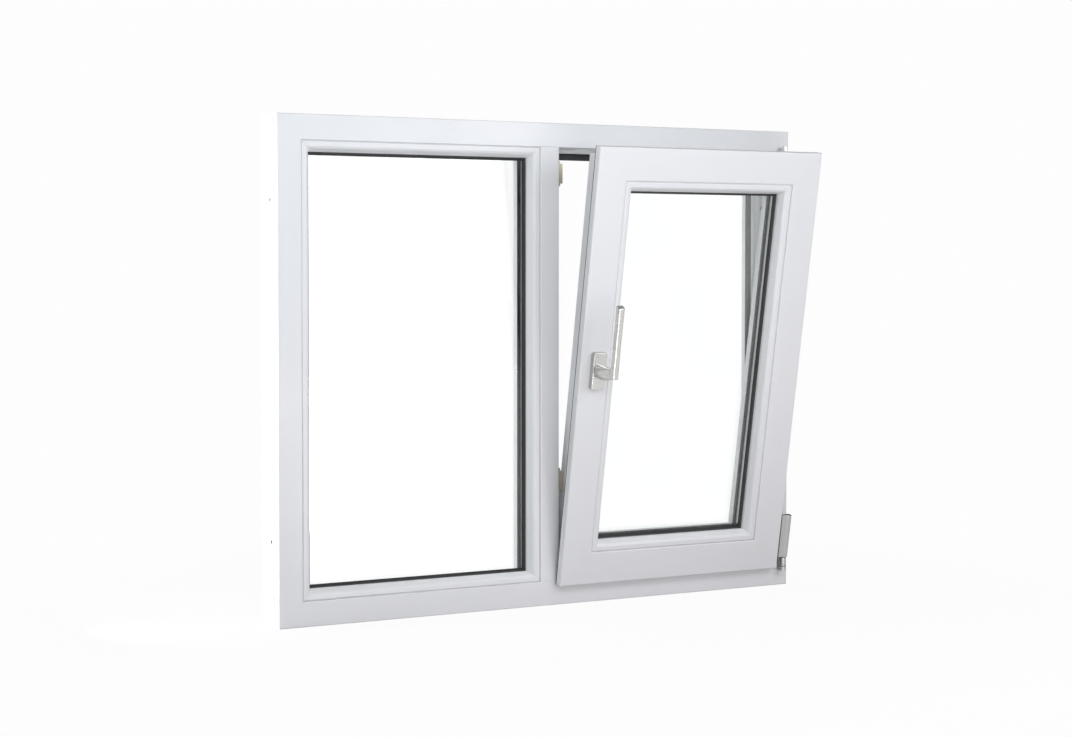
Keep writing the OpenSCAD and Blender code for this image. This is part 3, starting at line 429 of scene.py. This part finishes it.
def revolve(profile, axis_at, steps=48, axis="z"):
    """A solid of revolution. profile holds (radius, height) from one end to the other."""
    rings = []
    for r, h in profile:
        ring = []
        for k in range(steps):
            a = 2 * math.pi * k / steps
            p = {"z": (r * math.cos(a), r * math.sin(a), h),
                 "y": (r * math.cos(a), -h, r * math.sin(a)),
                 "x": (h, r * math.cos(a), r * math.sin(a))}[axis]
            ring.append(tuple(Vector(p) + Vector(axis_at)))
        rings.append(ring)
    return loft(rings)


def corners(u0, v0, u1, v1):
    return [(u0, v0), (u1, v0), (u1, v1), (u0, v1)]


def block(x0, y0, z0, x1, y1, z1):
    return loft([[(x, y, z) for x, y in corners(x0, y0, x1, y1)] for z in (z0, z1)])


def shells_to_mesh(name, shells, matrix=STILL):
    """A mesh of closed shells. A shell given as ("hollow", shell) is a chamber inside."""
    whole = bmesh.new()
    for shell in shells:
        hollow = shell[0] == "hollow"
        verts, faces = shell[1] if hollow else shell
        part = bmesh.new()
        made = [part.verts.new(Vector(v)) for v in verts]
        for f in faces:
            part.faces.new([made[i] for i in f])
        bmesh.ops.remove_doubles(part, verts=part.verts, dist=0.001)
        bmesh.ops.recalc_face_normals(part, faces=part.faces)
        if hollow:
            bmesh.ops.reverse_faces(part, faces=part.faces)
        scratch = bpy.data.meshes.new("scratch")
        part.to_mesh(scratch)
        part.free()
        whole.from_mesh(scratch)
        bpy.data.meshes.remove(scratch)
    whole.transform(Matrix.Scale(MM, 4) @ matrix)
    mesh = bpy.data.meshes.new(name)
    whole.to_mesh(mesh)
    whole.free()
    return mesh


def smooth(mesh, sharp):
    """Smooth shading, with edges over the angle kept sharp."""
    work = bmesh.new()
    work.from_mesh(mesh)
    for f in work.faces:
        f.smooth = True
    for e in work.edges:
        e.smooth = len(e.link_faces) == 2 and e.calc_face_angle(0) < math.radians(sharp)
    work.to_mesh(mesh)
    work.free()


def piece(name, shells, body, material, stands_for=(), matrix=STILL, sharp=40, cuts=None,
          join=0.0):
    """A visible piece that rides on a body. Edges over the angle sharp stay sharp, cuts is what is
    taken out of it, and join is the voxel size for a piece whose shells become one skin."""
    mesh = shells_to_mesh(name, shells, matrix)
    obj = bpy.data.objects.new(name, mesh)
    bpy.context.scene.collection.objects.link(obj)
    if join or cuts:
        change(obj, shells_to_mesh("tool", cuts, matrix) if cuts else None, join)
    smooth(obj.data, sharp)
    weighted = obj.modifiers.new("normals", "WEIGHTED_NORMAL")
    weighted.keep_sharp = True
    obj.data.materials.clear()
    obj.data.materials.append(material)
    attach(obj, body)
    if stands_for:
        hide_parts(*([stands_for] if isinstance(stands_for, str) else stands_for))
    return obj


def change(obj, tool_mesh, join):
    """Joins a piece's own shells into one skin, or cuts the tool out of it."""
    tool = None
    if join:
        step = obj.modifiers.new("join", "REMESH")
        step.mode, step.voxel_size = "VOXEL", join * MM
        polish = obj.modifiers.new("polish", "SMOOTH")
        polish.factor, polish.iterations = 0.5, 6
    if tool_mesh is not None:
        tool = bpy.data.objects.new("tool", tool_mesh)
        bpy.context.scene.collection.objects.link(tool)
        step = obj.modifiers.new("cut", "BOOLEAN")
        step.operation, step.solver, step.object = "DIFFERENCE", "EXACT", tool
    graph = bpy.context.evaluated_depsgraph_get()
    result = bpy.data.meshes.new_from_object(obj.evaluated_get(graph), depsgraph=graph)
    obj.modifiers.clear()
    obj.data = result
    if tool is not None:
        bpy.data.objects.remove(tool)


# ---- Profiles ----------------------------------------------------------------------------------


def frame_outline():
    """The frame's section, with two clip grooves along its outer side."""
    f, d, leg = FACE, DEPTH, FACE + LEG_H
    groove_w, groove_deep, slope = 3, 1.2, 0.4
    outer_side = []
    for v in (52, 18):
        outer_side += [(0, v + groove_w, 0), (groove_deep, v + groove_w - slope, 0),
                       (groove_deep, v + slope, 0), (0, v, 0)]
    return rounded([(0, 0, 2), (f, 0, 1.2), (f, LEG_V, 0.4), (leg, LEG_V, 1), (leg, d, 2),
                    (0, d, 1)] + outer_side)


STEEL_END = STEEL_V + STEEL_D


def steel_chamber(u):
    return corners(u, STEEL_V, u + STEEL_W, STEEL_END)


def frame_chambers():
    f, w = FACE, WALL
    return [corners(w, w, f - w, STEEL_V - w), steel_chamber(10),
            corners(w, STEEL_END + w, f - w, DEPTH - w)]


def sash_outline():
    """The sash's section: its flange, and the stepped groove for the faceplate and the rods."""
    f, d, b, g, leg = SASH_FACE, DEPTH, FLANGE_W, GROOVE_V, SASH_FACE + LEG_H
    plate_half, rod_half = 8.25, 6
    step, deep, chamfer = b + 2.5, b + 11.5, 4
    return rounded([
        (0, 0, 3), (f, 0, 2), (f, LEG_V, 0.4), (leg, LEG_V, 1), (leg, d, 2), (b + chamfer, d, 1),
        (b, d - chamfer, 1), (b, g + plate_half, 0.3), (step, g + plate_half, 0.2),
        (step, g + rod_half, 0.3), (deep, g + rod_half, 0.3), (deep, g - rod_half, 0.3),
        (step, g - rod_half, 0.3), (step, g - plate_half, 0.2), (b, g - plate_half, 0.3),
        (b, FLANGE_T, 1), (0, FLANGE_T, 1)], 4)


def sash_chambers():
    f, w, b = SASH_FACE, WALL, FLANGE_W
    return [corners(b, w, f - w, STEEL_V - w), steel_chamber(b + 13.5),
            corners(b + w, STEEL_END + w, f - w, DEPTH - 4)]


def profile_bar(name, rect, side, outline, chambers, body, node, matrix=STILL, cuts=None):
    shells = [mitred(rect, side, outline, SEAM)]
    shells += [("hollow", mitred(rect, side, c, gap=1.0)) for c in chambers]
    return piece(name, shells, body, PVC[body, SIDE_RUNS[side]], node, matrix, cuts=cuts)


FIXING_IN, FIXING_R = 150, 4.0


def fixing_holes(x):
    """Bores along X through a jamb, as cutters."""
    return [revolve([(FIXING_R, -1), (FIXING_R, FACE + 1)],
                    (x, FRAME_Y + STEEL_V + STEEL_D / 2, z), 32, "x")
            for z in (FIXING_IN, HEIGHT - FIXING_IN)]


jamb_holes = {3: fixing_holes(-WIDTH / 2), 1: fixing_holes(WIDTH / 2 - FACE)}
for side, node in enumerate(("frame_sill", "frame_jamb_right", "frame_head", "frame_jamb_left")):
    profile_bar(node + "_bar", OUTER, side, frame_outline(), frame_chambers(), "frame",
                node, cuts=jamb_holes.get(side))


def upright(outline, z0, z1):
    """A bar that stands between two levels, with a sunk seam at its ends."""
    shape = inset(outline, SEAM)
    rings = [(shape, z0), (outline, z0 + SEAM), (outline, z1 - SEAM), (shape, z1)]
    return loft([[(x, FRAME_Y + v, z) for x, v in pts] for pts, z in rings])


half = MULLION / 2
face_z = (FACE, HEIGHT - FACE)
leg_z = (FACE + LEG_H, HEIGHT - FACE - LEG_H)
piece("mullion_bar", [
    upright(rounded([(-half, 0, 2), (half, 0, 2), (half, LEG_V, 0), (-half, LEG_V, 0)]), *face_z),
    upright(corners(-half - LEG_H, LEG_V, half + LEG_H, DEPTH), *leg_z),
    ("hollow", upright(steel_chamber(-STEEL_W / 2), FACE + 1, HEIGHT - FACE - 1))],
    "frame", PVC["frame", "z"], "mullion")

# Sash profiles. The hinge pocket and the gearbox pocket are real.
POCKET_IN, POCKET_UP = 16.5, 8.5
GEAR_POCKET_IN, GEAR_POCKET_HALF_Y, GEAR_POCKET_HALF_Z = 30.7, 6.6, 61
pocket = block(SASH_X1 - POCKET_IN, TILT_AT.y - 5, SASH_Z0 - 1, SASH_X1 + 2, TILT_AT.y + 15,
               TILT_AT.z + POCKET_UP)
gear_pocket = block(BODY_X0 - 1, GROOVE_Y - GEAR_POCKET_HALF_Y, SPINDLE.z - GEAR_POCKET_HALF_Z,
                    BODY_X0 + GEAR_POCKET_IN, GROOVE_Y + GEAR_POCKET_HALF_Y,
                    SPINDLE.z + GEAR_POCKET_HALF_Z)
for side, node in enumerate(("sash_bottom_rail", "sash_stile_right", "sash_top_rail",
                             "sash_stile_left")):
    profile_bar(node + "_bar", SASH, side, sash_outline(), sash_chambers(), "sash",
                node, TILTED, cuts={0: [pocket], 1: [pocket], 3: [gear_pocket]}.get(side))

# ---- Glazing -----------------------------------------------------------------------------------

b, v0, v1 = BEAD_W, UNIT_V0, UNIT_V1
BEAD = rounded([(0, 4.0, 0.3), (2.6, 1.1, 1.6), (b - 9.6, 1.4, 4.0), (b - 5.2, 4.6, 6.0),
                (b, 15.5, 1.6), (b, v0 - 4, 0.4), (0, v0 - 4, 0)], 7)
INNER_GASKET = rounded([(b - 8, v0, 0), (b - 8, v0 - 4, 0.3), (b, v0 - 4, 0.2), (b, v0 - 6.2, 0.5),
                        (b + 2.6, v0 - 5, 1.2), (b + 5.5, v0 - 1.2, 0.8), (b + 5.5, v0, 0.3)], 5)
OUTER_GASKET = rounded([(10, v1, 0), (LEG_H + 1.8, v1, 0.6), (LEG_H + 2.2, v1 + 1.8, 0.9),
                        (LEG_H, LEG_V, 0.3), (10, LEG_V, 0)], 5)
PACK = 5  # the packers' thickness, between the rebate and the glass
PANE_T, ARRIS = 4, 0.6
spacer_u0, spacer_u1 = PACK + 5, PACK + 12.5
SPACER = rounded([(spacer_u0, v0 + PANE_T, 0.2), (spacer_u1, v0 + PANE_T, 1.0),
                  (spacer_u1, v1 - PANE_T, 1.0), (spacer_u0, v1 - PANE_T, 0.2)], 4)


def ring(rect, outline, seam=0.0):
    return [mitred(rect, side, outline, seam) for side in range(4)]


def pane_shell(rect, front):
    """A pane with ground edges."""
    x0, x1 = rect[0] + PACK, rect[0] + rect[2] - PACK
    z0, z1 = rect[1] + PACK, rect[1] + rect[3] - PACK
    layers = ((0, ARRIS), (ARRIS, 0), (PANE_T - ARRIS, 0), (PANE_T, ARRIS))
    return loft([[(x, rect[4] + front + back, z)
                  for x, z in corners(x0 + shrink, z0 + shrink, x1 - shrink, z1 - shrink)]
                 for back, shrink in layers])


def glaze(light, rect, body, matrix, turned):
    """A light's beads, spacer, gaskets and panes."""
    for side, (where, run) in enumerate(zip(SIDE_NAMES, SIDE_RUNS)):
        piece(f"{light}_bead_{where}", [mitred(rect, side, BEAD, 0.2)], body,
              PVC[body, run], [f"{light}_beads"] if side == 0 else (), matrix)
        metal_here = spacer_metal(f"{light}_spacer_{where}_metal", run, turned)
        piece(f"{light}_spacer_{where}", [mitred(rect, side, SPACER, 0.1)], body,
              metal_here, [f"{light}_spacer"] if side == 0 else (), matrix)
    piece(f"{light}_inner_gasket_ring", ring(rect, INNER_GASKET, 0.15), body,
          RUBBER, f"{light}_gasket_inner", matrix)
    piece(f"{light}_outer_gasket_ring", ring(rect, OUTER_GASKET, 0.15), body,
          RUBBER, f"{light}_gasket_outer", matrix)
    for face, front in (("inner", v0), ("outer", v1 - PANE_T)):
        piece(f"{light}_pane_{face}", [pane_shell(rect, front)], body, GLASS[body],
              f"{light}_glass_{face}", matrix, sharp=20)


glaze("fixed", FIXED, "frame", STILL, 0.0)
glaze("sash", SASH_GLAZING, "sash", TILTED, TILT)

# ---- Seals -------------------------------------------------------------------------------------

FRAME_SEAL = rounded([(8, LEG_V, 0), (9, LEG_V - 1.6, 0.5), (13, LEG_V - 2.6, 1),
                      (LEG_H - 1, LEG_V - 2.6, 1), (LEG_H + 1, LEG_V - 1, 0.8),
                      (LEG_H + 1, LEG_V + 1.4, 0.4), (LEG_H, LEG_V + 1.4, 0), (LEG_H, LEG_V, 0)])
piece("frame_seal_ring", ring(OPENING, FRAME_SEAL, 0.1), "frame", RUBBER,
      "frame_seal")

SASH_SEAL = rounded([(u, FLANGE_T + v, r) for u, v, r in (
    (0.3, 0, 0), (0.3, 1.7, 0.5), (1.4, 2.6, 0.6), (3.0, 2.5, 0.6), (4.4, 1.5, 0.5),
    (5.6, 2.2, 0.5), (7, 1.2, 0.4), (7, 0, 0))], 4)

# The sash's seal stops at the hinge and at the stay arm
STOP_DEEP, STAY_STOP_H = 40, 28
hinge_x0, sash_top = low("corner_hinge", "x"), SASH_Z0 + SASH_H
seal_stops = [block(hinge_x0 - 3, SASH_Y, SASH_Z0 - 1, SASH_X1 + 1, SASH_Y + STOP_DEEP,
                    CAP_Z0 + CAP_H + 5),
              block(hinge_x0 - 2, SASH_Y, sash_top - STAY_STOP_H, SASH_X1 + 1,
                    SASH_Y + STOP_DEEP, sash_top + 1)]
for side, where in enumerate(SIDE_NAMES):
    piece(f"sash_seal_{where}", [mitred(SASH, side, SASH_SEAL, 0.1)], "sash", RUBBER,
          "sash_seal" if side == 0 else (), TILTED,
          cuts={0: seal_stops[:1], 1: seal_stops, 2: seal_stops[1:]}.get(side))

# ---- Handle ------------------------------------------------------------------------------------


def rounded_rect(w, h, r, steps=8):
    r = min(r, w / 2 - 0.01, h / 2 - 0.01)
    return rounded([(-w / 2, -h / 2, r), (w / 2, -h / 2, r), (w / 2, h / 2, r), (-w / 2, h / 2, r)],
                   steps)


def filleted_plate(w, h, t, corner, fillet, at, crown=0.0):
    """A plate that stands out along -Y, with its front edge rounded and its face crowned."""
    layers = [(0, 0), (0, t - fillet)]
    layers += [(fillet * (1 - math.cos(a)), t - fillet + fillet * math.sin(a))
               for a in (math.radians(10 * k) for k in range(1, 10))]
    layers += [(fillet + 2, t + crown * 0.6), (fillet + 5, t + crown)]
    rings = []
    for shrink, out in layers:
        shape = rounded_rect(w - 2 * shrink, h - 2 * shrink, max(corner - shrink, 0.6))
        rings.append([(at[0] + x, at[1] - out, at[2] + z) for x, z in shape])
    return loft(rings)


rosette_at = (SPINDLE.x, SASH_Y, SPINDLE.z)
bore_r = SHAFT_R + SHAFT_PLAY
piece("rosette", [filleted_plate(ROSETTE_W, ROSETTE_H, ROSETTE_T, ROSETTE_CORNER, ROSETTE_FILLET,
                                 rosette_at, ROSETTE_CROWN)],
      "sash", HANDLE, "handle_rosette", TILTED, sharp=50,
      cuts=[revolve([(bore_r, -20), (bore_r, 40)], rosette_at, 48, "y")])

neck_root = SASH_Y - ROSETTE_T - ROSETTE_CROWN
lever_y = SASH_Y - STANDOFF


def neck_rings():
    """The shaft in the rosette, then a round root that narrows and rises into the lever's foot.
    A layer is its distance from the rosette, half width, half height, rise and squareness."""
    root_edge, root_t, steps, sides = 0.5, 5, 16, 56
    layers = [(-SHAFT_IN, SHAFT_R, SHAFT_R, 0, 2), (0, SHAFT_R, SHAFT_R, 0, 2),
              (0, NECK_R - root_edge, NECK_R - root_edge, 0, 2), (root_edge, NECK_R, NECK_R, 0, 2)]
    reach = neck_root - (lever_y + LEVER_D / 2) + 3
    for k in range(steps + 1):
        t = k / steps
        s = t ** 2.2
        layers.append((root_t + (reach - root_t) * t, NECK_R + (LEVER_W / 2 - 0.6 - NECK_R) * s,
                       NECK_R + (FOOT_H / 2 - NECK_R) * s, (FOOT_H / 2 - LEVER_DROP) * s,
                       2 + 1.6 * s))
    rings = []
    for out, wide, tall, rise, square in layers:
        ring = []
        for k in range(sides):
            c, n = math.cos(2 * math.pi * k / sides), math.sin(2 * math.pi * k / sides)
            r = (abs(c) ** square + abs(n) ** square) ** (-1 / square)
            ring.append((SPINDLE.x + wide * r * c, neck_root - out,
                         SPINDLE.z + rise + tall * r * n))
        rings.append(ring)
    return rings


def lever_rings():
    """Rings up the grip. Its front is rounder than its back, it is a little slimmer at the middle
    and its tip is cut at a slant."""
    z0, z1 = SPINDLE.z - LEVER_DROP, SPINDLE.z + LEVER_UP - LEVER_D / 2 * math.tan(TIP_SLANT)
    edge, waist_deep, slant_from = 1.5, 0.5, 0.85
    quarter = [math.radians(a) for a in (0, 30, 60, 90)]
    levels = [(z0 + edge * (1 - math.sin(a)), edge * (1 - math.cos(a))) for a in reversed(quarter)]
    levels += [(z0 + (z1 - z0) * k / 20, 0) for k in range(1, 20)]
    levels += [(z1 - edge * (1 - math.sin(a)), edge * (1 - math.cos(a))) for a in quarter]
    rings = []
    for z, shrink in levels:
        t = (z - z0) / (z1 - z0)
        waist = waist_deep * math.sin(math.pi * t)
        w, d = LEVER_W / 2 - shrink - waist / 2, LEVER_D / 2 - shrink - waist / 3
        shape = rounded([(-w, -d, 3.2), (w, -d, 4.0), (w, d, 2.0), (-w, d, 2.0)], 9)
        slant = math.tan(TIP_SLANT) * max(0.0, (t - slant_from) / 0.15) ** 2
        rings.append([(SPINDLE.x + x, lever_y + y, z + slant * y) for x, y in shape])
    return rings


piece("lever", [loft(lever_rings()), loft(neck_rings())],
      "handle", HANDLE, "handle_lever", TILTED, sharp=60, join=0.45)

# ---- Hinge cap and barrel ----------------------------------------------------------------------


def cap_outline(r):
    """Round about the turn axis, with a flat part that reaches to the sash's flange."""
    x, y = TURN_AT.x, TURN_AT.y
    x0, front = SASH_X1 + 1.6, y - 3.5
    arc = [(x + r * math.cos(math.radians(a)), y + r * math.sin(math.radians(a)))
           for a in range(90, -126, -9)]
    return [(x0, y + r)] + arc + [(x - r + 0.4, front), (x0 + 1.2, front), (x0, front + 1.2)]


cap_r = KNUCKLE_R + 0.3
cap_layers = [(0.5, 0), (0, 0.5), (0, CAP_H - CAP_FILLET)]
cap_layers += [(CAP_FILLET * (1 - math.cos(a)), CAP_H - CAP_FILLET + CAP_FILLET * math.sin(a))
               for a in (math.radians(18 * k) for k in range(1, 6))]
cap_rings = [[(x, y, CAP_Z0 + z) for x, y in inset(cap_outline(cap_r), shrink)]
             for shrink, z in cap_layers]
knuckle_bore = KNUCKLE_R - 1.45
knuckle = revolve([(knuckle_bore, CAP_Z0 - 1), (knuckle_bore, CAP_Z0 + CAP_H - 4)],
                  (TURN_AT.x, TURN_AT.y, 0), 40)
piece("hinge_cap", [loft(cap_rings)], "sash", HINGE, "corner_hinge_cap", TILTED,
      sharp=45, cuts=[knuckle])

# The barrel has a shallow ring groove between its two halves
groove_r = KNUCKLE_R - 0.35
PIN_BORE = 3.05
barrel = [(KNUCKLE_R - 0.7, BARREL_Z0), (KNUCKLE_R, BARREL_Z0 + 0.7), (KNUCKLE_R, BARREL_Z0 + 3.2),
          (groove_r, BARREL_Z0 + 3.5), (groove_r, BARREL_Z0 + 4.0),
          (KNUCKLE_R, BARREL_Z0 + 4.3), (KNUCKLE_R, BARREL_Z1 - 0.9),
          (KNUCKLE_R - 0.9, BARREL_Z1)]
axle = [(2.1, SASH_X1 - 15), (2.5, SASH_X1 - 14.6), (2.5, TURN_AT.x - 3)]
piece("tilt_barrel", [revolve(barrel, (TURN_AT.x, TURN_AT.y, 0)),
                      revolve(axle, (0, TILT_AT.y, TILT_AT.z), 32, "x")],
      "barrel", HINGE, "pivot_barrel", sharp=35,
      cuts=[revolve([(PIN_BORE, BARREL_Z0 - 1), (PIN_BORE, BARREL_Z1 - 5)],
                    (TURN_AT.x, TURN_AT.y, 0), 32)])

# ---- Drainage covers ---------------------------------------------------------------------------

DRAIN_W, DRAIN_H, DRAIN_T, DRAIN_Z = 42, 16, 4, 26
outlet = block(-15, -2.0, -9, 15, 1, 5.5)
for side, x in (("left", -WIDTH / 4), ("right", WIDTH / 4)):
    outside = Matrix.Translation((x, FRAME_Y + DEPTH, DRAIN_Z)) @ Matrix.Rotation(math.pi, 4, "Z")
    piece(f"drain_cap_{side}", [filleted_plate(DRAIN_W, DRAIN_H, DRAIN_T, 3.0, 1.6, (0, 0, 0))],
          "frame", TRIM, "drain_caps" if side == "left" else (), outside, sharp=50,
          cuts=[outlet])

# ---- Materials on the CAD nodes that stay ------------------------------------------------------

slot_of = {s["node"]: s["material_slot"] for s in frame["record"]["subparts"]}
LOOK = {"stay_bearing": metal("coated_steel", rgb(0.82, 0.82, 0.83), 0.55)}
for name, node in frame["nodes"].items():
    if not node.hide_render:
        node.data.materials.clear()
        node.data.materials.append(LOOK.get(name) or SLOT_MATERIAL[slot_of[name]])

# ---- Stage, light and camera -------------------------------------------------------------------

SEEN_WHITE = 0.985
WHITE_THROUGH = 1.08  # seen through glass, to make up for what the glass takes
WHITE_IN_METAL = 1.1

# The floor is plain white to the camera away from the window, and takes its shadow near it
g = material_graph("floor")
floor_at = g.put("TexCoord").outputs["Object"]
away = g.put("VectorMath", {0: floor_at}, operation="LENGTH").outputs["Value"]
rays = g.put("LightPath").outputs
seen_white = g.remap(rays["Is Transmission Ray"], 0, 1, SEEN_WHITE, WHITE_THROUGH)
in_metal = g.math("MAXIMUM", g.math("SUBTRACT", rays["Is Glossy Ray"],
                                    rays["Is Transmission Ray"]), 0.0)
seen_white = g.math("MULTIPLY", seen_white, g.remap(in_metal, 0, 1, 1.0, WHITE_IN_METAL))
glow = g.put("Emission", {"Color": rgb(1, 1, 1), "Strength": seen_white}).outputs[0]
seen_floor = g.math("MAXIMUM", rays["Is Camera Ray"], rays["Is Transmission Ray"])
pale = g.mix(g.noise(floor_at, 2.0, 3.0), rgb(0.86, 0.86, 0.865), rgb(0.88, 0.88, 0.88))
lit = g.principled(Base_Color=g.mix(seen_floor, rgb(0.40, 0.40, 0.41), pale), Roughness=0.85)
white_share = g.math("MAXIMUM", in_metal, g.math("MULTIPLY", seen_floor,
                                                 g.remap(away, 0.5, 1.4, 0.96, 1.0)))
floor_material = g.surface(g.put("MixShader", {0: white_share, 1: lit, 2: glow}).outputs[0])
floor_mesh = bpy.data.meshes.new("floor")
FLOOR_HALF, FLOOR_BELOW = 30.0, 0.0005
floor_mesh.from_pydata([(x, y, 0) for x, y in corners(-FLOOR_HALF, -FLOOR_HALF, FLOOR_HALF,
                                                      FLOOR_HALF)], [], [(0, 1, 2, 3)])
floor = bpy.data.objects.new("floor", floor_mesh)
floor.location.z = -FLOOR_BELOW
floor_mesh.materials.append(floor_material)
bpy.context.scene.collection.objects.link(floor)

world = bpy.data.worlds.new("studio")
bpy.context.scene.world = world
sky = Graph(world)
world.cycles.sampling_method = "NONE"


def background(colour, strength):
    return sky.put("Background", {"Color": colour, "Strength": strength}).outputs[0]


def pick(factor, a, b):
    return sky.put("MixShader", {0: factor, 1: a, 2: b}).outputs[0]


way = sky.put("SeparateXYZ", {"Vector": sky.put("TexCoord").outputs["Generated"]}).outputs
path = sky.put("LightPath").outputs
ramp = sky.put("ValToRGB", {"Fac": sky.remap(way["Z"], -1.0, 1.0, 0.0, 1.0)})
ends = ramp.color_ramp.elements
ends[0].position, ends[0].color = 0.42, rgb(0.42, 0.39, 0.39)
ends[1].position, ends[1].color = 0.85, rgb(0.97, 0.93, 0.93)
ambient = background(ramp.outputs[0], 0.34)
# What metal and glass mirror: a bright room in front, darker to the sides and behind
mirrored = background(rgb(1.0, 0.99, 0.975), sky.remap(way["Y"], -0.95, -0.1, 1.25, 0.15))
white = background(rgb(1, 1, 1),
                   sky.remap(path["Is Transmission Ray"], 0.0, 1.0, SEEN_WHITE, WHITE_THROUGH))
seen = sky.math("MAXIMUM", path["Is Camera Ray"], path["Is Transmission Ray"])
lighting = pick(path["Is Glossy Ray"], ambient, mirrored)
sky.put("OutputWorld", {"Surface": pick(seen, lighting, white)})

CENTRE = Vector((0, 0, 0.45))


def softbox(name, azimuth, elevation, distance, width, height, watts, colour=(1, 1, 1),
            aim=CENTRE, mirrored=False, lights=True):
    """An area light, so many metres from what it is aimed at. Azimuth 0 is the room side and 90
    the right. A mirrored light shows in metal and glass."""
    a, e = math.radians(azimuth), math.radians(elevation)
    light = bpy.data.lights.new(name, "AREA")
    light.shape, light.size, light.size_y = "RECTANGLE", width, height
    light.energy, light.color = watts, colour
    lamp = bpy.data.objects.new(name, light)
    lamp.location = aim + distance * Vector((math.sin(a) * math.cos(e), -math.cos(a) * math.cos(e),
                                             math.sin(e)))
    lamp.rotation_euler = (lamp.location - aim).to_track_quat("Z", "Y").to_euler()
    lamp.visible_camera = lamp.visible_transmission = False
    lamp.visible_glossy, lamp.visible_diffuse = mirrored, lights
    bpy.context.scene.collection.objects.link(lamp)


softbox("near_left", -30, 10, 1.1, 0.7, 0.6, 3.1, (0.86, 0.99, 1.06), Vector((-0.32, 0, 0.82)))
softbox("key", 20, 11, 1.5, 0.8, 0.8, 7.2, (0.92, 0.965, 1.01), Vector((0.3, 0, 0.8)), True)
softbox("near_top", -15, 0, 1.0, 0.8, 0.5, 1.7, (0.95, 0.99, 1.02), Vector((-0.1, 0, 0.95)), True)
softbox("low", 0, -6, 1.4, 1.1, 0.4, 4.7, (1.0, 0.955, 0.97), Vector((0.12, 0, 0.38)))
softbox("top", 0, 64, 1.5, 1.3, 0.6, 2.3, (0.96, 0.98, 1.0), Vector((0, 0, 0.55)))
softbox("left", -98, 12, 2.6, 1.4, 2.2, 10, (1.0, 0.98, 0.97))
softbox("glint", 4, -18, 1.2, 0.10, 0.5, 5, aim=Vector((0.05, -0.14, 0.5)), mirrored=True,
        lights=False)
softbox("back", 195, 28, 3.0, 2.2, 1.4, 30, (0.97, 0.98, 1.0))
softbox("side_strip", -90, 0, 0.30, 0.08, 0.95, 3.6, aim=Vector((-WIDTH / 2 * MM, 0.075, 0.48)))

camera_data = bpy.data.cameras.new("camera")
camera_data.sensor_width = 36.0
camera_data.lens = 74.33
camera_data.shift_x, camera_data.shift_y = 0.0002, -0.0118
camera = bpy.data.objects.new("camera", camera_data)
YAW, PITCH = math.radians(30.465), math.radians(-2.346)
camera.location = (-2.1119, -3.5732, 0.6361)
camera.rotation_euler = (math.pi / 2 + PITCH, 0, -YAW)
bpy.context.scene.collection.objects.link(camera)
bpy.context.scene.camera = camera

view = bpy.context.scene.view_settings
view.view_transform, view.look, view.exposure, view.gamma = "Standard", "None", 0.0, 1.0
